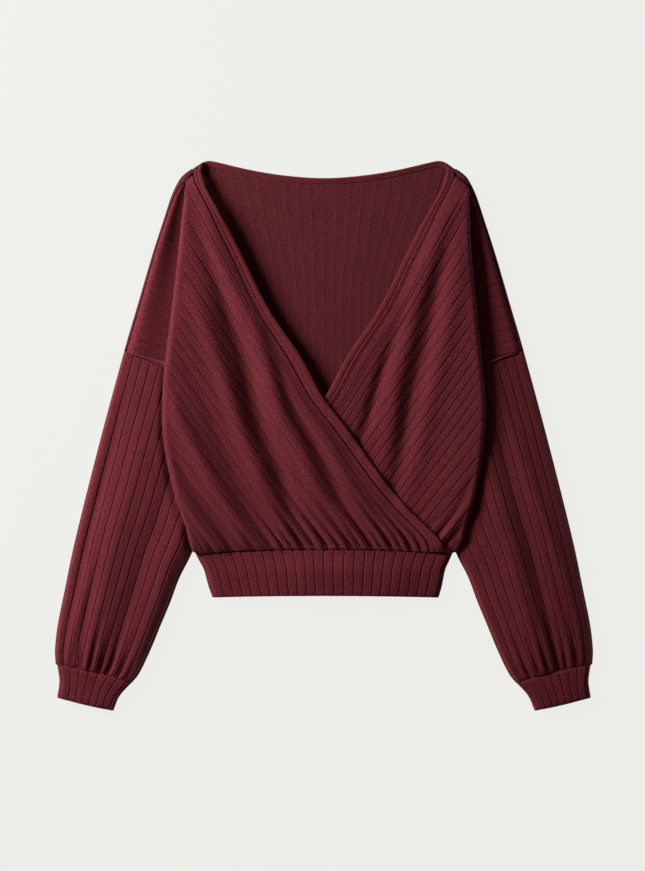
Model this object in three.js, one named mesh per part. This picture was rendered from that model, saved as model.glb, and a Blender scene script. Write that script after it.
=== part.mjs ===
import * as THREE from "three";

// A cropped wrap top of wide-rib jersey, laid flat on its back. Millimetres.
// +X is the wearer's left, +Y runs from hem to neck, +Z is up from the surface it lies on.
// "out" is a distance from the centre line towards the side that a piece belongs to.
const WALL = 1.6;
const DOUBLED_WALL = 2.6;
const SEAM = 0.4;
const RIB_RAISE = 0.6;
const RIB_FLANK = 0.2;
const NECKBAND_THICKNESS = 3;
const SLEEVE_EDGE_RADIUS = 3.4;
const CUFF_THICKNESS = 11;
const WAISTBAND_THICKNESS = 12;
const WAISTBAND_EDGE_RADIUS = 5.5;
const LAYER_STEP = 3.8;
const FRONT_RIBS = 26;
const SLEEVE_RIBS = 12;
const CUFF_RIBS = 7;
const WAISTBAND_RIBS = 24;
const BURGUNDY = 0x6b2731;
const DEEP_BURGUNDY = 0x5c1f2a;

// Rows of numbers with named columns.
function table(columns, rows) {
  const names = columns.split(" ");
  return rows.map((row) => Object.fromEntries(names.map((name, i) => [name, row[i]])));
}

// Shoulder point, shoulder slope, drop shoulder and outer edge of the sleeve.
const OUTLINE = table("y out", [
  [344, 144],
  [342, 152.5],
  [337, 161],
  [329, 173],
  [322, 180],
  [302, 190],
  [272, 200],
  [227, 214.5],
  [167, 232],
  [105.6, 250],
  [-13, 282],
  [-133, 312],
  [-193, 324.5],
  [-238, 333],
  [-268, 335.5],
  [-286.5, 335.5],
]);

// How far inside the outline the shoulder seam lies on the front.
const SHOULDER_SEAM = table("y inset", [
  [330, 7],
  [323.5, 13.3],
  [313.9, 8.5],
  [302.5, 6],
  [283, 4.5],
  [250, 3.8],
  [105.6, 3.8],
]);

// Top edge of the back neck over the shoulder point, and the width of the neckband below it,
// which tapers where it ends under the front's band.
const NECKLINE = table("out y band", [
  [-24, 323.4, 8],
  [0, 322.5, 8],
  [24, 323.4, 8],
  [58, 326.9, 8],
  [88, 331.9, 8],
  [111, 336.9, 8],
  [130, 341.5, 8],
  [144, 344, 8],
  [152.5, 341.8, 8],
  [160, 336.6, 4],
]);

// Free edge of a front and the width of its neckband, measured straight across.
const FRONT_EDGE = table("y out band", [
  [342, 156, 8],
  [334.4, 154.6, 9],
  [322, 151, 12],
  [308, 146.2, 11],
  [282, 132.1, 11.3],
  [252, 115.5, 14],
  [225, 102, 14],
  [157, 68, 16],
  [99, 29, 17],
  [47, 0.6, 16.5],
  [8.8, -28.8, 16],
  [-55.6, -75.1, 15],
  [-87, -101.3, 15],
  [-127, -141.6, 17],
  [-143.8, -152.9, 21],
]);

// Upper end of a front neckband, cut along the shoulder.
const NECKBAND_TOP = table("out y", [
  [151.5, 341.6],
  [163.2, 333.6],
]);

// Armhole seam from the end of the shoulder to the underarm.
const ARMHOLE = table("out y", [
  [250, 105.6],
  [223.7, 97],
  [198.7, 84.4],
  [167.4, 59.4],
  [140, 25.6],
  [116.2, -18.1],
]);

// Side seam from the underarm to the waist.
const SIDE_SEAM = table("y out", [
  [-18.1, 116.2],
  [-80, 137],
  [-146.9, 159.6],
]);

// Inner edge of the sleeve, from the underarm to the cuff.
const SLEEVE_INNER = table("y out", [
  [-18.5, 117.7],
  [-80, 140.8],
  [-148, 165.5],
  [-178, 180.6],
  [-208, 191.9],
  [-238, 204.4],
  [-268, 216.8],
  [-298, 231.2],
  [-309.4, 240],
]);

// Height of the sleeve's crown along it.
const SLEEVE_CROWN = table("along top", [
  [0, 11.5],
  [0.2, 13.5],
  [0.5, 18],
  [0.8, 19],
  [0.93, 17],
  [1, 12.5],
]);

// Sides of the cuff from its seam to its hem; bow lifts the middle of the line between them.
const CUFF = table("along outer outer_y inner inner_y bow", [
  [0, 333, -287.4, 241, -310.2, 2.8],
  [0.5, 331, -307, 255.5, -326, 1],
  [1, 333.8, -327.5, 263.3, -344, -0.7],
]);

// Half width of the waistband down its depth.
const WAISTBAND = table("along half", [
  [0, 160],
  [0.15, 156.5],
  [0.35, 151.5],
  [0.75, 146],
  [1, 141.5],
]);

// A front, rib by rib from its neckband to its lower side corner. fold_y, right and left say
// where the rib turns over the side fold, waist where it ends at the waist seam, seam_y where
// it starts on the shoulder, and under how high the layer beneath the fold lies.
const FRONT = table("rib fold_y right left waist seam_y wing under", [
  [0, 323, 163.9, 163.9, -131.3, 323.5, 7.4, 7.8],
  [1, 309.4, 172, 179, -120.5, 316, 7.6, 9],
  [2, 295.6, 173, 180.4, -110, 309, 8, 11],
  [3, 273.5, 176, 181, -99.5, 302.5, 8.4, 12],
  [5, 229.4, 180.3, 182.5, -78, 274.4, 9, 12.8],
  [9, 157, 188.8, 189.5, -32, 218, 9.2, 12.8],
  [14, 83, 197.8, 197, 33, 147.8, 9.2, 12.8],
  [17, 37, 200.3, 200.5, 59.9, 105.6, 9.2, 12.8],
  [19, -4.4, 199.1, 199, 84, 80, 9.2, 12.8],
  [22, -72, 185.6, 188.6, 123, -18.1, 7.2, 12.8],
  [24, -113, 171.4, 176.8, 147.5, -80, 3.6, 12.6],
  [25, -132, 167, 172.1, 155, -115, 3.4, 11.5],
  [26, -145.6, 162.6, 163.2, 158.8, -146.5, 3.3, 6.5],
]);

// Height of a front along its side fold and across its middle.
const FRONT_HEIGHT = table("y fold middle", [
  [338, 5, 5],
  [323, 8.8, 8.8],
  [309, 13, 11],
  [295, 17, 12.5],
  [273, 20.5, 14.2],
  [229, 23, 15.6],
  [157, 24.5, 16],
  [0, 24.5, 16],
  [-72, 24, 16],
  [-113, 21, 15.5],
  [-150, 20, 15],
]);
const LEFT_FRONT_DROP = 3;
const LEFT_DROP_Y = 300;
const LEFT_DROP_FADE = 60;
const SIDE_FOLD_SPREAD = 110;
const UNDER_CLEAR = 2.8;
const UNDER_START = 20;
const UNDER_START_FADE = 30;
const UNDER_END_Y = -148;
const UNDER_END_FADE = 20;
const UNDER_ROUND = 0.6;
const LAYER_ROUND = 2;
const DRAPE_TAPER = 0.7;
const UNDER_REACH = 40;
const UNDER_SLOPE = 0.35;
const WAIST_ROLL = 30;
const WAIST_HEIGHT = { right: 11.4, left: 8 };
const CURL_BULGE = 1.8;

// Soft drape folds in each front: a ridge or trough from one end to the other.
const DRAPE = table("side out y to_out to_y rise width", [
  ["right", 128, 215, -22, -99, 4, 15],
  ["right", 165, 190, 60, -95, -2.5, 14],
  ["left", 140, 252, 56, 77, 3.5, 13],
  ["left", 146, 213, 84, -60, -3.5, 12],
  ["left", 168, 170, 120, -60, 2.5, 14],
]);

const mix = (a, b, t) => a + (b - a) * t;
const clamp = (x) => Math.min(Math.max(x, 0), 1);
const ease = (x) => clamp(x) ** 2 * (3 - 2 * clamp(x));

// The larger or the smaller of two heights, rounded where they cross.
const softMax = (a, b, round) => (a + b + Math.hypot(a - b, round)) / 2;
const softMin = (a, b, round) => (a + b - Math.hypot(a - b, round)) / 2;

// Smooth curve through a column of a table, as a function of another column.
function through(rows, from, to) {
  const last = rows.length - 1;
  const rising = rows[last][from] > rows[0][from];
  const slope = (i) => {
    const before = rows[Math.max(i - 1, 0)];
    const after = rows[Math.min(i + 1, last)];
    return (after[to] - before[to]) / (after[from] - before[from]);
  };
  return (x) => {
    let i = 0;
    while (i < last - 1 && (x > rows[i + 1][from]) === rising) i += 1;
    const span = rows[i + 1][from] - rows[i][from];
    const t = clamp((x - rows[i][from]) / span);
    const ease0 = (1 + 2 * t) * (1 - t) ** 2;
    const lean0 = t * (1 - t) ** 2;
    const lean1 = t * t * (t - 1);
    const slopes = span * (lean0 * slope(i) + lean1 * slope(i + 1));
    return ease0 * rows[i][to] + (1 - ease0) * rows[i + 1][to] + slopes;
  };
}

const outline = through(OUTLINE, "y", "out");
const seamInset = through(SHOULDER_SEAM, "y", "inset");
const neckline = through(NECKLINE, "out", "y");
const neckBackWidth = through(NECKLINE, "out", "band");
const frontEdge = through(FRONT_EDGE, "y", "out");
const neckbandWidth = through(FRONT_EDGE, "y", "band");
const armholeY = through(ARMHOLE, "out", "y");
const sideSeam = through(SIDE_SEAM, "y", "out");
const sleeveInner = through(SLEEVE_INNER, "y", "out");
const sleeveCrown = through(SLEEVE_CROWN, "along", "top");
const waistbandHalf = through(WAISTBAND, "along", "half");
const foldHeight = through(FRONT_HEIGHT, "y", "fold");
const middleHeight = through(FRONT_HEIGHT, "y", "middle");
const foldEdge = {
  right: through(FRONT, "fold_y", "right"),
  left: through(FRONT, "fold_y", "left"),
};
const underHeight = through(FRONT, "fold_y", "under");

const WAIST_HALF = 160;
const WAIST_TOP = -141.5;
const WAIST_DIP = 6.5;
const WAIST_CURVE = 2.5;
const HEM_Y = -200;
const HEM_DIP = 2.5;
const waistSeam = (x) => WAIST_TOP - WAIST_DIP * Math.abs(x / WAIST_HALF) ** WAIST_CURVE;

const UNDERARM = ARMHOLE[ARMHOLE.length - 1];
const SHOULDER_END = ARMHOLE[0];

// A point of the armhole seam, from 0 at the shoulder to 1 at the underarm.
function armhole(t) {
  const out = mix(SHOULDER_END.out, UNDERARM.out, t);
  return [out, armholeY(out)];
}

// A closed surface made of grids of points and of strips that join their edges.
class Skin {
  constructor() {
    this.points = [];
    this.faces = [];
  }

  // Adds a grid of points and its faces; turned grids face the other way.
  grid(rows, { turned = false, closed = false } = {}) {
    const index = rows.map((row) => row.map((point) => this.points.push(point) - 1));
    for (let i = 0; i + 1 < index.length; i += 1) {
      const width = index[i].length;
      for (let j = 0; j < (closed ? width : width - 1); j += 1) {
        const next = (j + 1) % width;
        const a = index[i][j];
        const b = index[i + 1][j];
        const c = index[i + 1][next];
        const d = index[i][next];
        this.faces.push(...(turned ? [[a, c, b], [a, d, c]] : [[a, b, c], [a, c, d]]));
      }
    }
    return index;
  }

  // Joins two edges that run the same way; "at" says how far along itself each point lies.
  strip(first, second, firstAt, secondAt) {
    let i = 0;
    let j = 0;
    while (i + 1 < first.length || j + 1 < second.length) {
      const stepFirst = j + 1 >= second.length
        || (i + 1 < first.length && firstAt[i + 1] <= secondAt[j + 1]);
      if (stepFirst) {
        this.faces.push([first[i + 1], first[i], second[j]]);
        i += 1;
      } else {
        this.faces.push([first[i], second[j], second[j + 1]]);
        j += 1;
      }
    }
  }

  // The finished mesh, with its faces turned to point out of the cloth.
  mesh(name, color, sign = 1) {
    const corner = (i) => new THREE.Vector3(sign * this.points[i][0], ...this.points[i].slice(1));
    let volume = 0;
    const triangles = this.faces.map((face) => face.map(corner));
    for (const [a, b, c] of triangles) volume += a.dot(b.clone().cross(c));
    const positions = [];
    for (const [a, b, c] of triangles) {
      for (const point of volume > 0 ? [a, b, c] : [a, c, b]) positions.push(...point.toArray());
    }
    const geometry = new THREE.BufferGeometry();
    geometry.setAttribute("position", new THREE.Float32BufferAttribute(positions, 3));
    geometry.computeVertexNormals();
    const material = new THREE.MeshStandardMaterial({ color, roughness: 0.9, metalness: 0 });
    const mesh = new THREE.Mesh(geometry, material);
    mesh.name = name;
    return mesh;
  }
}

// Direction that a grid of points faces at one of them.
function facing(rows, i, j) {
  const at = (a, b) => new THREE.Vector3(
    ...rows[Math.min(Math.max(a, 0), rows.length - 1)][Math.min(Math.max(b, 0), rows[0].length - 1)],
  );
  const across = at(i + 1, j).sub(at(i - 1, j));
  const along = at(i, j + 1).sub(at(i, j - 1));
  return along.cross(across).normalize();
}

// A wall of cloth round a middle sheet: "raise" lifts rows of its right side, and its wrong
// side keeps every "skip"th row.
function wall(sheet, raise, skip) {
  const moved = (i, j, distance) => {
    const point = new THREE.Vector3(...sheet[i][j]);
    return point.addScaledVector(facing(sheet, i, j), distance).toArray();
  };
  const skin = new Skin();
  const rightSide = sheet.map((row, i) => row.map((_, j) => moved(i, j, WALL / 2 + raise[i])));
  const kept = sheet.map((_, i) => i).filter((i) => i % skip === 0);
  const wrongSide = kept.map((i) => sheet[i].map((_, j) => moved(i, j, -WALL / 2)));
  const a = skin.grid(rightSide);
  const b = skin.grid(wrongSide, { turned: true });
  const rowAt = sheet.map((_, i) => i);
  const columnAt = sheet[0].map((_, j) => j);
  const flip = (list) => list.slice().reverse();
  const back = (list) => flip(list).map((x) => -x);
  const column = (index, j) => index.map((row) => row[j]);
  const lastColumn = columnAt.length - 1;
  skin.strip(column(a, 0), column(b, 0), rowAt, kept);
  skin.strip(a[a.length - 1], b[b.length - 1], columnAt, columnAt);
  skin.strip(flip(column(a, lastColumn)), flip(column(b, lastColumn)), back(rowAt), back(kept));
  skin.strip(flip(a[0]), flip(b[0]), back(columnAt), back(columnAt));
  return skin;
}

// Line along which a front turns under at its inner side, from shoulder seam to underarm.
const APEX_OUT = 171;
const APEX_Y = FRONT[1].fold_y;
const innerFold = (y) => mix(APEX_OUT, UNDERARM.out, (APEX_Y - y) / (APEX_Y - UNDERARM.y));

// Least height of a front's upper layer, so that it clears its own layer beneath the fold.
function leastHeight(out, y) {
  const under = Math.max(underHeight(y), underHeight(y - UNDER_REACH));
  const inner = y > UNDERARM.y ? innerFold(y) : sideSeam(y);
  const past = Math.max(0, inner - CURL_BULGE - WALL - out);
  const start = ease((APEX_Y + UNDER_START - y) / UNDER_START_FADE);
  const end = ease((y - UNDER_END_Y) / UNDER_END_FADE);
  return start * end * (under + UNDER_CLEAR) - UNDER_SLOPE * past;
}

// Height of the middle of a front's cloth over a point of the surface.
function ownHeight(side, out, y) {
  const inward = foldEdge[side](y) - out;
  const fold = foldHeight(y);
  const drop = side === "left" ? LEFT_FRONT_DROP * ease((LEFT_DROP_Y - y) / LEFT_DROP_FADE) : 0;
  const middle = middleHeight(y) - drop;
  let height = mix(fold, middle, ease(inward / SIDE_FOLD_SPREAD));
  for (const drape of DRAPE.filter((row) => row.side === side)) {
    const run = [drape.to_out - drape.out, drape.to_y - drape.y];
    const length = Math.hypot(...run);
    const offset = [out - drape.out, y - drape.y];
    const along = (offset[0] * run[0] + offset[1] * run[1]) / length ** 2;
    const across = (offset[0] * run[1] - offset[1] * run[0]) / length;
    const taper = Math.sin(Math.PI * clamp(along)) ** DRAPE_TAPER;
    height += drape.rise * taper * Math.exp(-((across / drape.width) ** 2));
  }
  height = softMax(height, leastHeight(out, y), UNDER_ROUND);
  const roll = clamp((y - waistSeam(out)) / WAIST_ROLL);
  const seam = WAIST_HEIGHT[side];
  return seam + (height - seam) * Math.sqrt(1 - (1 - roll) ** 2);
}

// The right front lies on the left one.
function frontHeight(side, out, y) {
  const own = ownHeight(side, out, y);
  if (side === "left") return own;
  return softMax(own, ownHeight("left", -out, y) + LAYER_STEP, LAYER_ROUND);
}

// Sleeve: its plan from edge to edge, and the height of its upper side.
const SLEEVE_START = 1.2;
const SLEEVE_TOP_Y = SHOULDER_END.y;
const CUFF_SEAM_BOW = 2.8;
const SLEEVE_UNDER_CLEAR = 3.3;
const ARMHOLE_FADE = 1.6;
const CROWN_FULLNESS = 0.65;
const PRESSED_REACH = 3;
const PRESSED_SLOPE = 0.9;
const PRESSED_END = 0.6;
const PRESSED_ROUND = 1;

function sleevePlace(u, v) {
  const outerY = mix(SLEEVE_TOP_Y, OUTLINE[OUTLINE.length - 1].y, v);
  const innerY = mix(SLEEVE_INNER[0].y, SLEEVE_INNER[SLEEVE_INNER.length - 1].y, v);
  const straight = mix(SLEEVE_TOP_Y, SLEEVE_INNER[0].y, u);
  const armholeBow = armhole(u)[1] - straight;
  const bow = armholeBow * (1 - v) ** ARMHOLE_FADE + 4 * CUFF_SEAM_BOW * u * (1 - u) * v * v;
  return [
    mix(outline(outerY), sleeveInner(innerY), u),
    mix(outerY, innerY, u) + bow - SLEEVE_START * (1 - v),
  ];
}

function sleeveTop(side, u, v) {
  const low = 2 * SLEEVE_EDGE_RADIUS;
  const crown = low + (sleeveCrown(v) - low) * Math.sin(Math.PI * clamp(u)) ** CROWN_FULLNESS;
  const [out, y] = sleevePlace(u, v);
  const pressed = Math.max(low, underHeight(y) - SLEEVE_UNDER_CLEAR);
  const release = Math.max(0, out - foldEdge[side](y) - PRESSED_REACH) * PRESSED_SLOPE;
  const free = y < FRONT[FRONT.length - 1].fold_y || v > PRESSED_END;
  return free ? crown : Math.max(low, softMin(crown, pressed + release, PRESSED_ROUND));
}

// One rib of a front from its seam, under the side fold and back over it to the waist.
const ARMHOLE_RIB = 17;
const UNDERARM_RIB = 22;
const SIDE_LAP = 1.5;
const RIB_LEAN = 3.2;
const UPPER_STATIONS = [0, 0.1, 0.22, 0.36, 0.52, 0.68, 0.84, 1];
const WAIST_CLEAR = 1.5;
const WAIST_STATIONS = [0.4, 0];
const WAIST_ROLL_SHARE = 0.6;
const SIDE_END_HEIGHT = 2.9;
const LEAST_WING = 0.6;
const SIDE_STEP = 0.2;
const WING_DROP = 0.3;
const FOLD_FULLNESS = 0.9;
const FOLD_REACH = 0.8;
const FOLD_RISE = 0.55;
const FOLD_INSET = 0.3;
const LEAST_RADIUS = 0.4;
const OPEN_RIBS = 3;
const frontFoldY = through(FRONT, "rib", "fold_y");
const frontWaist = through(FRONT, "rib", "waist");
const frontSeamY = through(FRONT, "rib", "seam_y");
const frontWing = through(FRONT, "rib", "wing");
const frontUnder = through(FRONT, "rib", "under");
const neckSeam = (y) => frontEdge(y) + neckbandWidth(y);

// Where the upper layer of a rib is measured, from the side fold down to the waist.
function upperStations(rib) {
  const start = frontFoldY(rib);
  const end = waistSeam(frontWaist(rib)) + WAIST_CLEAR;
  const roll = Math.min(WAIST_ROLL, WAIST_ROLL_SHARE * (start - end));
  return [
    ...UPPER_STATIONS.map((share) => mix(start, end + roll, share)),
    ...WAIST_STATIONS.map((share) => end + roll * share),
  ];
}

function ribSeamPoint(side, rib) {
  if (rib <= ARMHOLE_RIB) {
    const y = frontSeamY(rib);
    return [outline(y) - seamInset(y), y, 2 * SLEEVE_EDGE_RADIUS - WALL / 2];
  }
  const start = seamInset(SHOULDER_END.y) / (SHOULDER_END.out - UNDERARM.out);
  const share = (rib - ARMHOLE_RIB) / (UNDERARM_RIB - ARMHOLE_RIB);
  if (share <= 1) {
    const t = mix(start, 1, share);
    return [...armhole(t), sleeveTop(side, t, 0) - WALL / 2];
  }
  const down = (rib - UNDERARM_RIB) / (FRONT_RIBS - UNDERARM_RIB);
  const y = mix(UNDERARM.y, SIDE_SEAM[SIDE_SEAM.length - 1].y, down);
  const top = 2 * SLEEVE_EDGE_RADIUS - WALL / 2;
  return [sideSeam(y) - SIDE_LAP * ease(2 * down), y, mix(top, SIDE_END_HEIGHT, ease(3 * down))];
}

function ribInnerPoint(seam, rib) {
  if (rib >= UNDERARM_RIB) return [seam[0] - LEAST_WING, seam[1] - SIDE_STEP];
  const guess = Math.min(innerFold(seam[1]), seam[0] - LEAST_WING);
  const y = seam[1] - WING_DROP * (seam[0] - guess);
  return [Math.min(innerFold(y), seam[0] - LEAST_WING), y];
}

function ribLine(side, rib) {
  const seam = ribSeamPoint(side, rib);
  const [innerOut, innerY] = ribInnerPoint(seam, rib);
  const foldY = frontFoldY(rib);
  const edge = foldEdge[side](foldY);
  const wing = Math.max(frontWing(rib), rib > UNDERARM_RIB ? seam[2] : 0);
  const under = frontUnder(rib);
  const top = frontHeight(side, edge, foldY);
  const radius = Math.max((top - under) / 2, LEAST_RADIUS);
  const open = ease(rib / OPEN_RIBS);
  const bulge = Math.min((under - wing) / 2, CURL_BULGE) * open;
  const fold = edge - radius * FOLD_FULLNESS * open - FOLD_INSET;
  const turn = fold + radius * FOLD_REACH * open;
  const points = [
    seam,
    [innerOut, innerY, wing],
    [innerOut - bulge, innerY, (wing + under) / 2],
    [innerOut, innerY, under],
    [fold, foldY, under],
    [turn, foldY, under + radius * FOLD_RISE],
    [turn, foldY, top - radius * FOLD_RISE],
  ];
  const waistOut = frontWaist(rib);
  const lean = Math.exp(-rib / RIB_LEAN);
  const neck = upperStations(0);
  const [neckStart, neckEnd] = [neck[0], neck[neck.length - 1]];
  upperStations(rib).forEach((y, i, all) => {
    const along = (y - foldY) / (all[all.length - 1] - foldY);
    const neckAlong = (neck[i] - neckStart) / (neckEnd - neckStart);
    const neckStraight = mix(neckSeam(neckStart), neckSeam(neckEnd), neckAlong);
    const out = mix(fold, waistOut, along) + lean * (neckSeam(neck[i]) - neckStraight);
    points.push([out, y, frontHeight(side, out, y)]);
  });
  return points;
}

// Stations across a set of ribs: the groove and both shoulders of each rib.
function ribStations(ribs) {
  const stations = [];
  for (let rib = 0; rib < ribs; rib += 1) {
    stations.push({ at: rib, raise: 0 });
    stations.push({ at: rib + RIB_FLANK, raise: RIB_RAISE });
    stations.push({ at: rib + 1 - RIB_FLANK, raise: RIB_RAISE });
  }
  stations.push({ at: ribs, raise: 0 });
  return stations;
}

function front(side, sign) {
  const stations = ribStations(FRONT_RIBS);
  const sheet = stations.map(({ at }) => ribLine(side, at));
  return wall(sheet, stations.map(({ raise }) => raise), 3).mesh("front_" + side, BURGUNDY, sign);
}

// Back: rows from the neck to the waist, curled up along the shoulders to meet the fronts.
const BACK_COLUMNS = 26;
const CURL_STATIONS = [0.25, 0.5, 0.75, 1];
const CURL_RADIUS = SLEEVE_EDGE_RADIUS - WALL / 2;
const BACK_ROWS = table("place at curl", [
  ["shoulder", 331, 0],
  ["shoulder", 325, 0.5],
  ["shoulder", 319, 0.8],
  ["shoulder", 312, 1],
  ["shoulder", 300, 1],
  ["shoulder", 272, 1],
  ["shoulder", 227, 1],
  ["shoulder", 167, 1],
  ["shoulder", 109, 1],
  ["armhole", 0, 0],
  ["armhole", 0.2, 0],
  ["armhole", 0.4, 0],
  ["armhole", 0.6, 0],
  ["armhole", 0.8, 0],
  ["armhole", 1, 0],
  ["side", -60, 0],
  ["side", -105, 0],
  ["side", SIDE_SEAM[2].y, 0],
]);
const NECK_DIP_FADE = 60;
const EDGE_PULL = 12;
const FLAT_STEP = 0.5;

function backRow(row) {
  const end = {
    shoulder: () => [outline(row.at), row.at],
    armhole: () => armhole(row.at),
    side: () => [sideSeam(row.at), row.at],
  }[row.place]();
  const [half, endY] = end;
  const top = BACK_ROWS[0].at;
  const waistEnd = BACK_ROWS[BACK_ROWS.length - 1].at;
  const neckPull = Math.exp(-(top - endY) / NECK_DIP_FADE);
  const waistPull = Math.exp(-(endY - waistEnd) / NECK_DIP_FADE);
  const height = (x) => endY
    + neckPull * (neckline(Math.abs(x)) - neckBackWidth(Math.abs(x)) - 2 * SEAM - top)
    + waistPull * (waistSeam(x) - waistSeam(half));
  const flatHalf = half - CURL_RADIUS * row.curl - FLAT_STEP;
  const rim = [];
  const points = [];
  const inset = row.curl * Math.max(seamInset(endY) - 4 * SEAM - CURL_RADIUS - FLAT_STEP, 0);
  for (const step of CURL_STATIONS) {
    const angle = Math.PI * step * row.curl;
    const spread = (1 - row.curl) * FLAT_STEP * step;
    rim.push([
      flatHalf + CURL_RADIUS * Math.sin(angle) + spread - (step === 1 ? inset : 0),
      WALL / 2 + CURL_RADIUS * (1 - Math.cos(angle)),
    ]);
  }
  const edgeY = Math.min(height(half), endY);
  for (const [out, z] of rim.slice().reverse()) points.push([-out, edgeY, z]);
  for (let i = 0; i <= BACK_COLUMNS; i += 1) {
    const x = -flatHalf * Math.cos(Math.PI * i / BACK_COLUMNS);
    points.push([x, mix(height(x), edgeY, Math.abs(x / flatHalf) ** EDGE_PULL), WALL / 2]);
  }
  for (const [out, z] of rim) points.push([out, edgeY, z]);
  return points;
}

function back() {
  const sheet = BACK_ROWS.map(backRow);
  return wall(sheet, sheet.map(() => 0), 1).mesh("back", DEEP_BURGUNDY);
}

// A flattened tube: place(u, v) gives its plan, top(u, v) the height of its upper side.
const EDGE_ANGLES = [-60, -20, 20, 60].map(THREE.MathUtils.degToRad);
const UNDERSIDE = [0, 0.2, 0.4, 0.6, 0.8, 1];

// A mark along the ring, from 0 to 4, tells which of its four parts a point belongs to.
const EDGE_MARKS = [0.1, 0.3, 0.5, 0.7];
const RING_END = 4;

function tubeRing({ place, top, radius, stations }, v, inward) {
  const [a, b] = [place(0, v), place(1, v)];
  const width = Math.hypot(b[0] - a[0], b[1] - a[1]);
  const corner = radius / width;
  const ring = [];
  const push = (u, z, at) => ring.push({ point: [...place(u, v), z], at });
  for (const t of UNDERSIDE) push(mix(1 - corner, corner, t), inward, t);
  EDGE_ANGLES.forEach((angle, i) => {
    const reach = (radius - inward) / width;
    const z = radius + (radius - inward) * Math.sin(angle);
    push(corner - reach * Math.cos(angle), z, 1 + EDGE_MARKS[i]);
  });
  for (const { share, raise } of stations) {
    const u = mix(corner, 1 - corner, share);
    push(u, top(u, v) - inward + raise, 2 + share);
  }
  EDGE_ANGLES.slice().reverse().forEach((angle, i) => {
    const reach = (radius - inward) / width;
    const z = radius + (radius - inward) * Math.sin(angle);
    push(1 - corner + reach * Math.cos(angle), z, 3 + EDGE_MARKS[i]);
  });
  return ring;
}

function tube({ name, color, sign, place, top, radius, ribs, rows, thickness }) {
  const stations = ribStations(ribs).map(({ at, raise }) => ({ share: at / ribs, raise }));
  const plain = stations.filter((_, i) => i % 3 === 0).map(({ share }) => ({ share, raise: 0 }));
  const outer = rows.map((v) => tubeRing({ place, top, radius, stations }, v, 0));
  const inner = rows.map((v) => tubeRing({ place, top, radius, stations: plain }, v, thickness));
  const skin = new Skin();
  const a = skin.grid(outer.map((ring) => ring.map(({ point }) => point)), { closed: true });
  const b = skin.grid(inner.map((ring) => ring.map(({ point }) => point)), { closed: true, turned: true });
  const loop = (index) => [...index, index[0]];
  const outerAt = [...outer[0].map(({ at }) => at), RING_END];
  const innerAt = [...inner[0].map(({ at }) => at), RING_END];
  const last = rows.length - 1;
  const flip = (list) => list.slice().reverse();
  const back = (list) => flip(list).map((x) => -x);
  skin.strip(flip(loop(a[0])), flip(loop(b[0])), back(outerAt), back(innerAt));
  skin.strip(loop(a[last]), loop(b[last]), outerAt, innerAt);
  return skin.mesh(name, color, sign);
}

const SLEEVE_ROWS = [0, 0.07, 0.15, 0.23, 0.31, 0.4, 0.5, 0.65, 0.8, 0.9, 0.96, 1];

function sleeve(side, sign) {
  return tube({
    name: "sleeve_" + side,
    color: BURGUNDY,
    sign,
    place: sleevePlace,
    top: (u, v) => sleeveTop(side, u, v),
    radius: SLEEVE_EDGE_RADIUS,
    ribs: SLEEVE_RIBS,
    rows: SLEEVE_ROWS,
    thickness: WALL,
  });
}

function cuff(side, sign) {
  const column = (name) => through(CUFF, "along", name);
  const [outer, outerY, inner] = [column("outer"), column("outer_y"), column("inner")];
  const [innerY, bow] = [column("inner_y"), column("bow")];
  return tube({
    name: "cuff_" + side,
    color: BURGUNDY,
    sign,
    place: (u, v) => [
      mix(outer(v), inner(v), u),
      mix(outerY(v), innerY(v), u) + 4 * bow(v) * u * (1 - u),
    ],
    top: () => CUFF_THICKNESS,
    radius: CUFF_THICKNESS / 2,
    ribs: CUFF_RIBS,
    rows: [0, 0.33, 0.67, 1],
    thickness: DOUBLED_WALL,
  });
}

function waistband() {
  return tube({
    name: "waistband",
    color: BURGUNDY,
    place: (u, v) => {
      const x = mix(-1, 1, u) * waistbandHalf(v);
      const hem = HEM_Y - HEM_DIP * (x / waistbandHalf(1)) ** 2;
      return [x, mix(waistSeam(x) - SEAM, hem, v)];
    },
    top: () => WAISTBAND_THICKNESS,
    radius: WAISTBAND_EDGE_RADIUS,
    ribs: WAISTBAND_RIBS,
    rows: [0, 0.15, 0.35, 0.7, 1],
    thickness: DOUBLED_WALL,
  });
}

// A doubled band as a bar of rounded section between its two edges.
const BAND_SECTION = table("across up", [
  [0, 0],
  [0.1, 0.45],
  [0.5, 0.5],
  [0.9, 0.45],
  [1, 0],
  [0.9, -0.45],
  [0.5, -0.5],
  [0.1, -0.45],
]);

function bar(name, sections, sign) {
  const rows = sections.map(({ from, to, height }) => BAND_SECTION.map(({ across, up }) => [
    mix(from[0], to[0], across),
    mix(from[1], to[1], across),
    mix(height(from), height(to), across) + up * NECKBAND_THICKNESS,
  ]));
  const skin = new Skin();
  const index = skin.grid(rows, { closed: true });
  const first = index[0];
  const last = index[index.length - 1];
  for (let i = 1; i + 1 < first.length; i += 1) {
    skin.faces.push([first[0], first[i + 1], first[i]].reverse());
    skin.faces.push([last[0], last[i], last[i + 1]].reverse());
  }
  return skin.mesh(name, DEEP_BURGUNDY, sign);
}

const NECKBAND_LIFT = 0.5;
const NECKBAND_START = 331;

function neckband(side, sign) {
  const height = ([out, y]) => frontHeight(side, out, y) + NECKBAND_LIFT;
  const [inner, outer] = NECKBAND_TOP.map(({ out, y }) => [out, y]);
  const start = { from: inner, to: outer, height };
  const sections = [NECKBAND_START, ...upperStations(0)].map((y) => ({
    from: [frontEdge(y), y],
    to: [neckSeam(y) - 2 * SEAM, y],
    height,
  }));
  return bar("neckband_" + side, [start, ...sections], sign);
}

const NECK_SECTIONS = 40;

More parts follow.
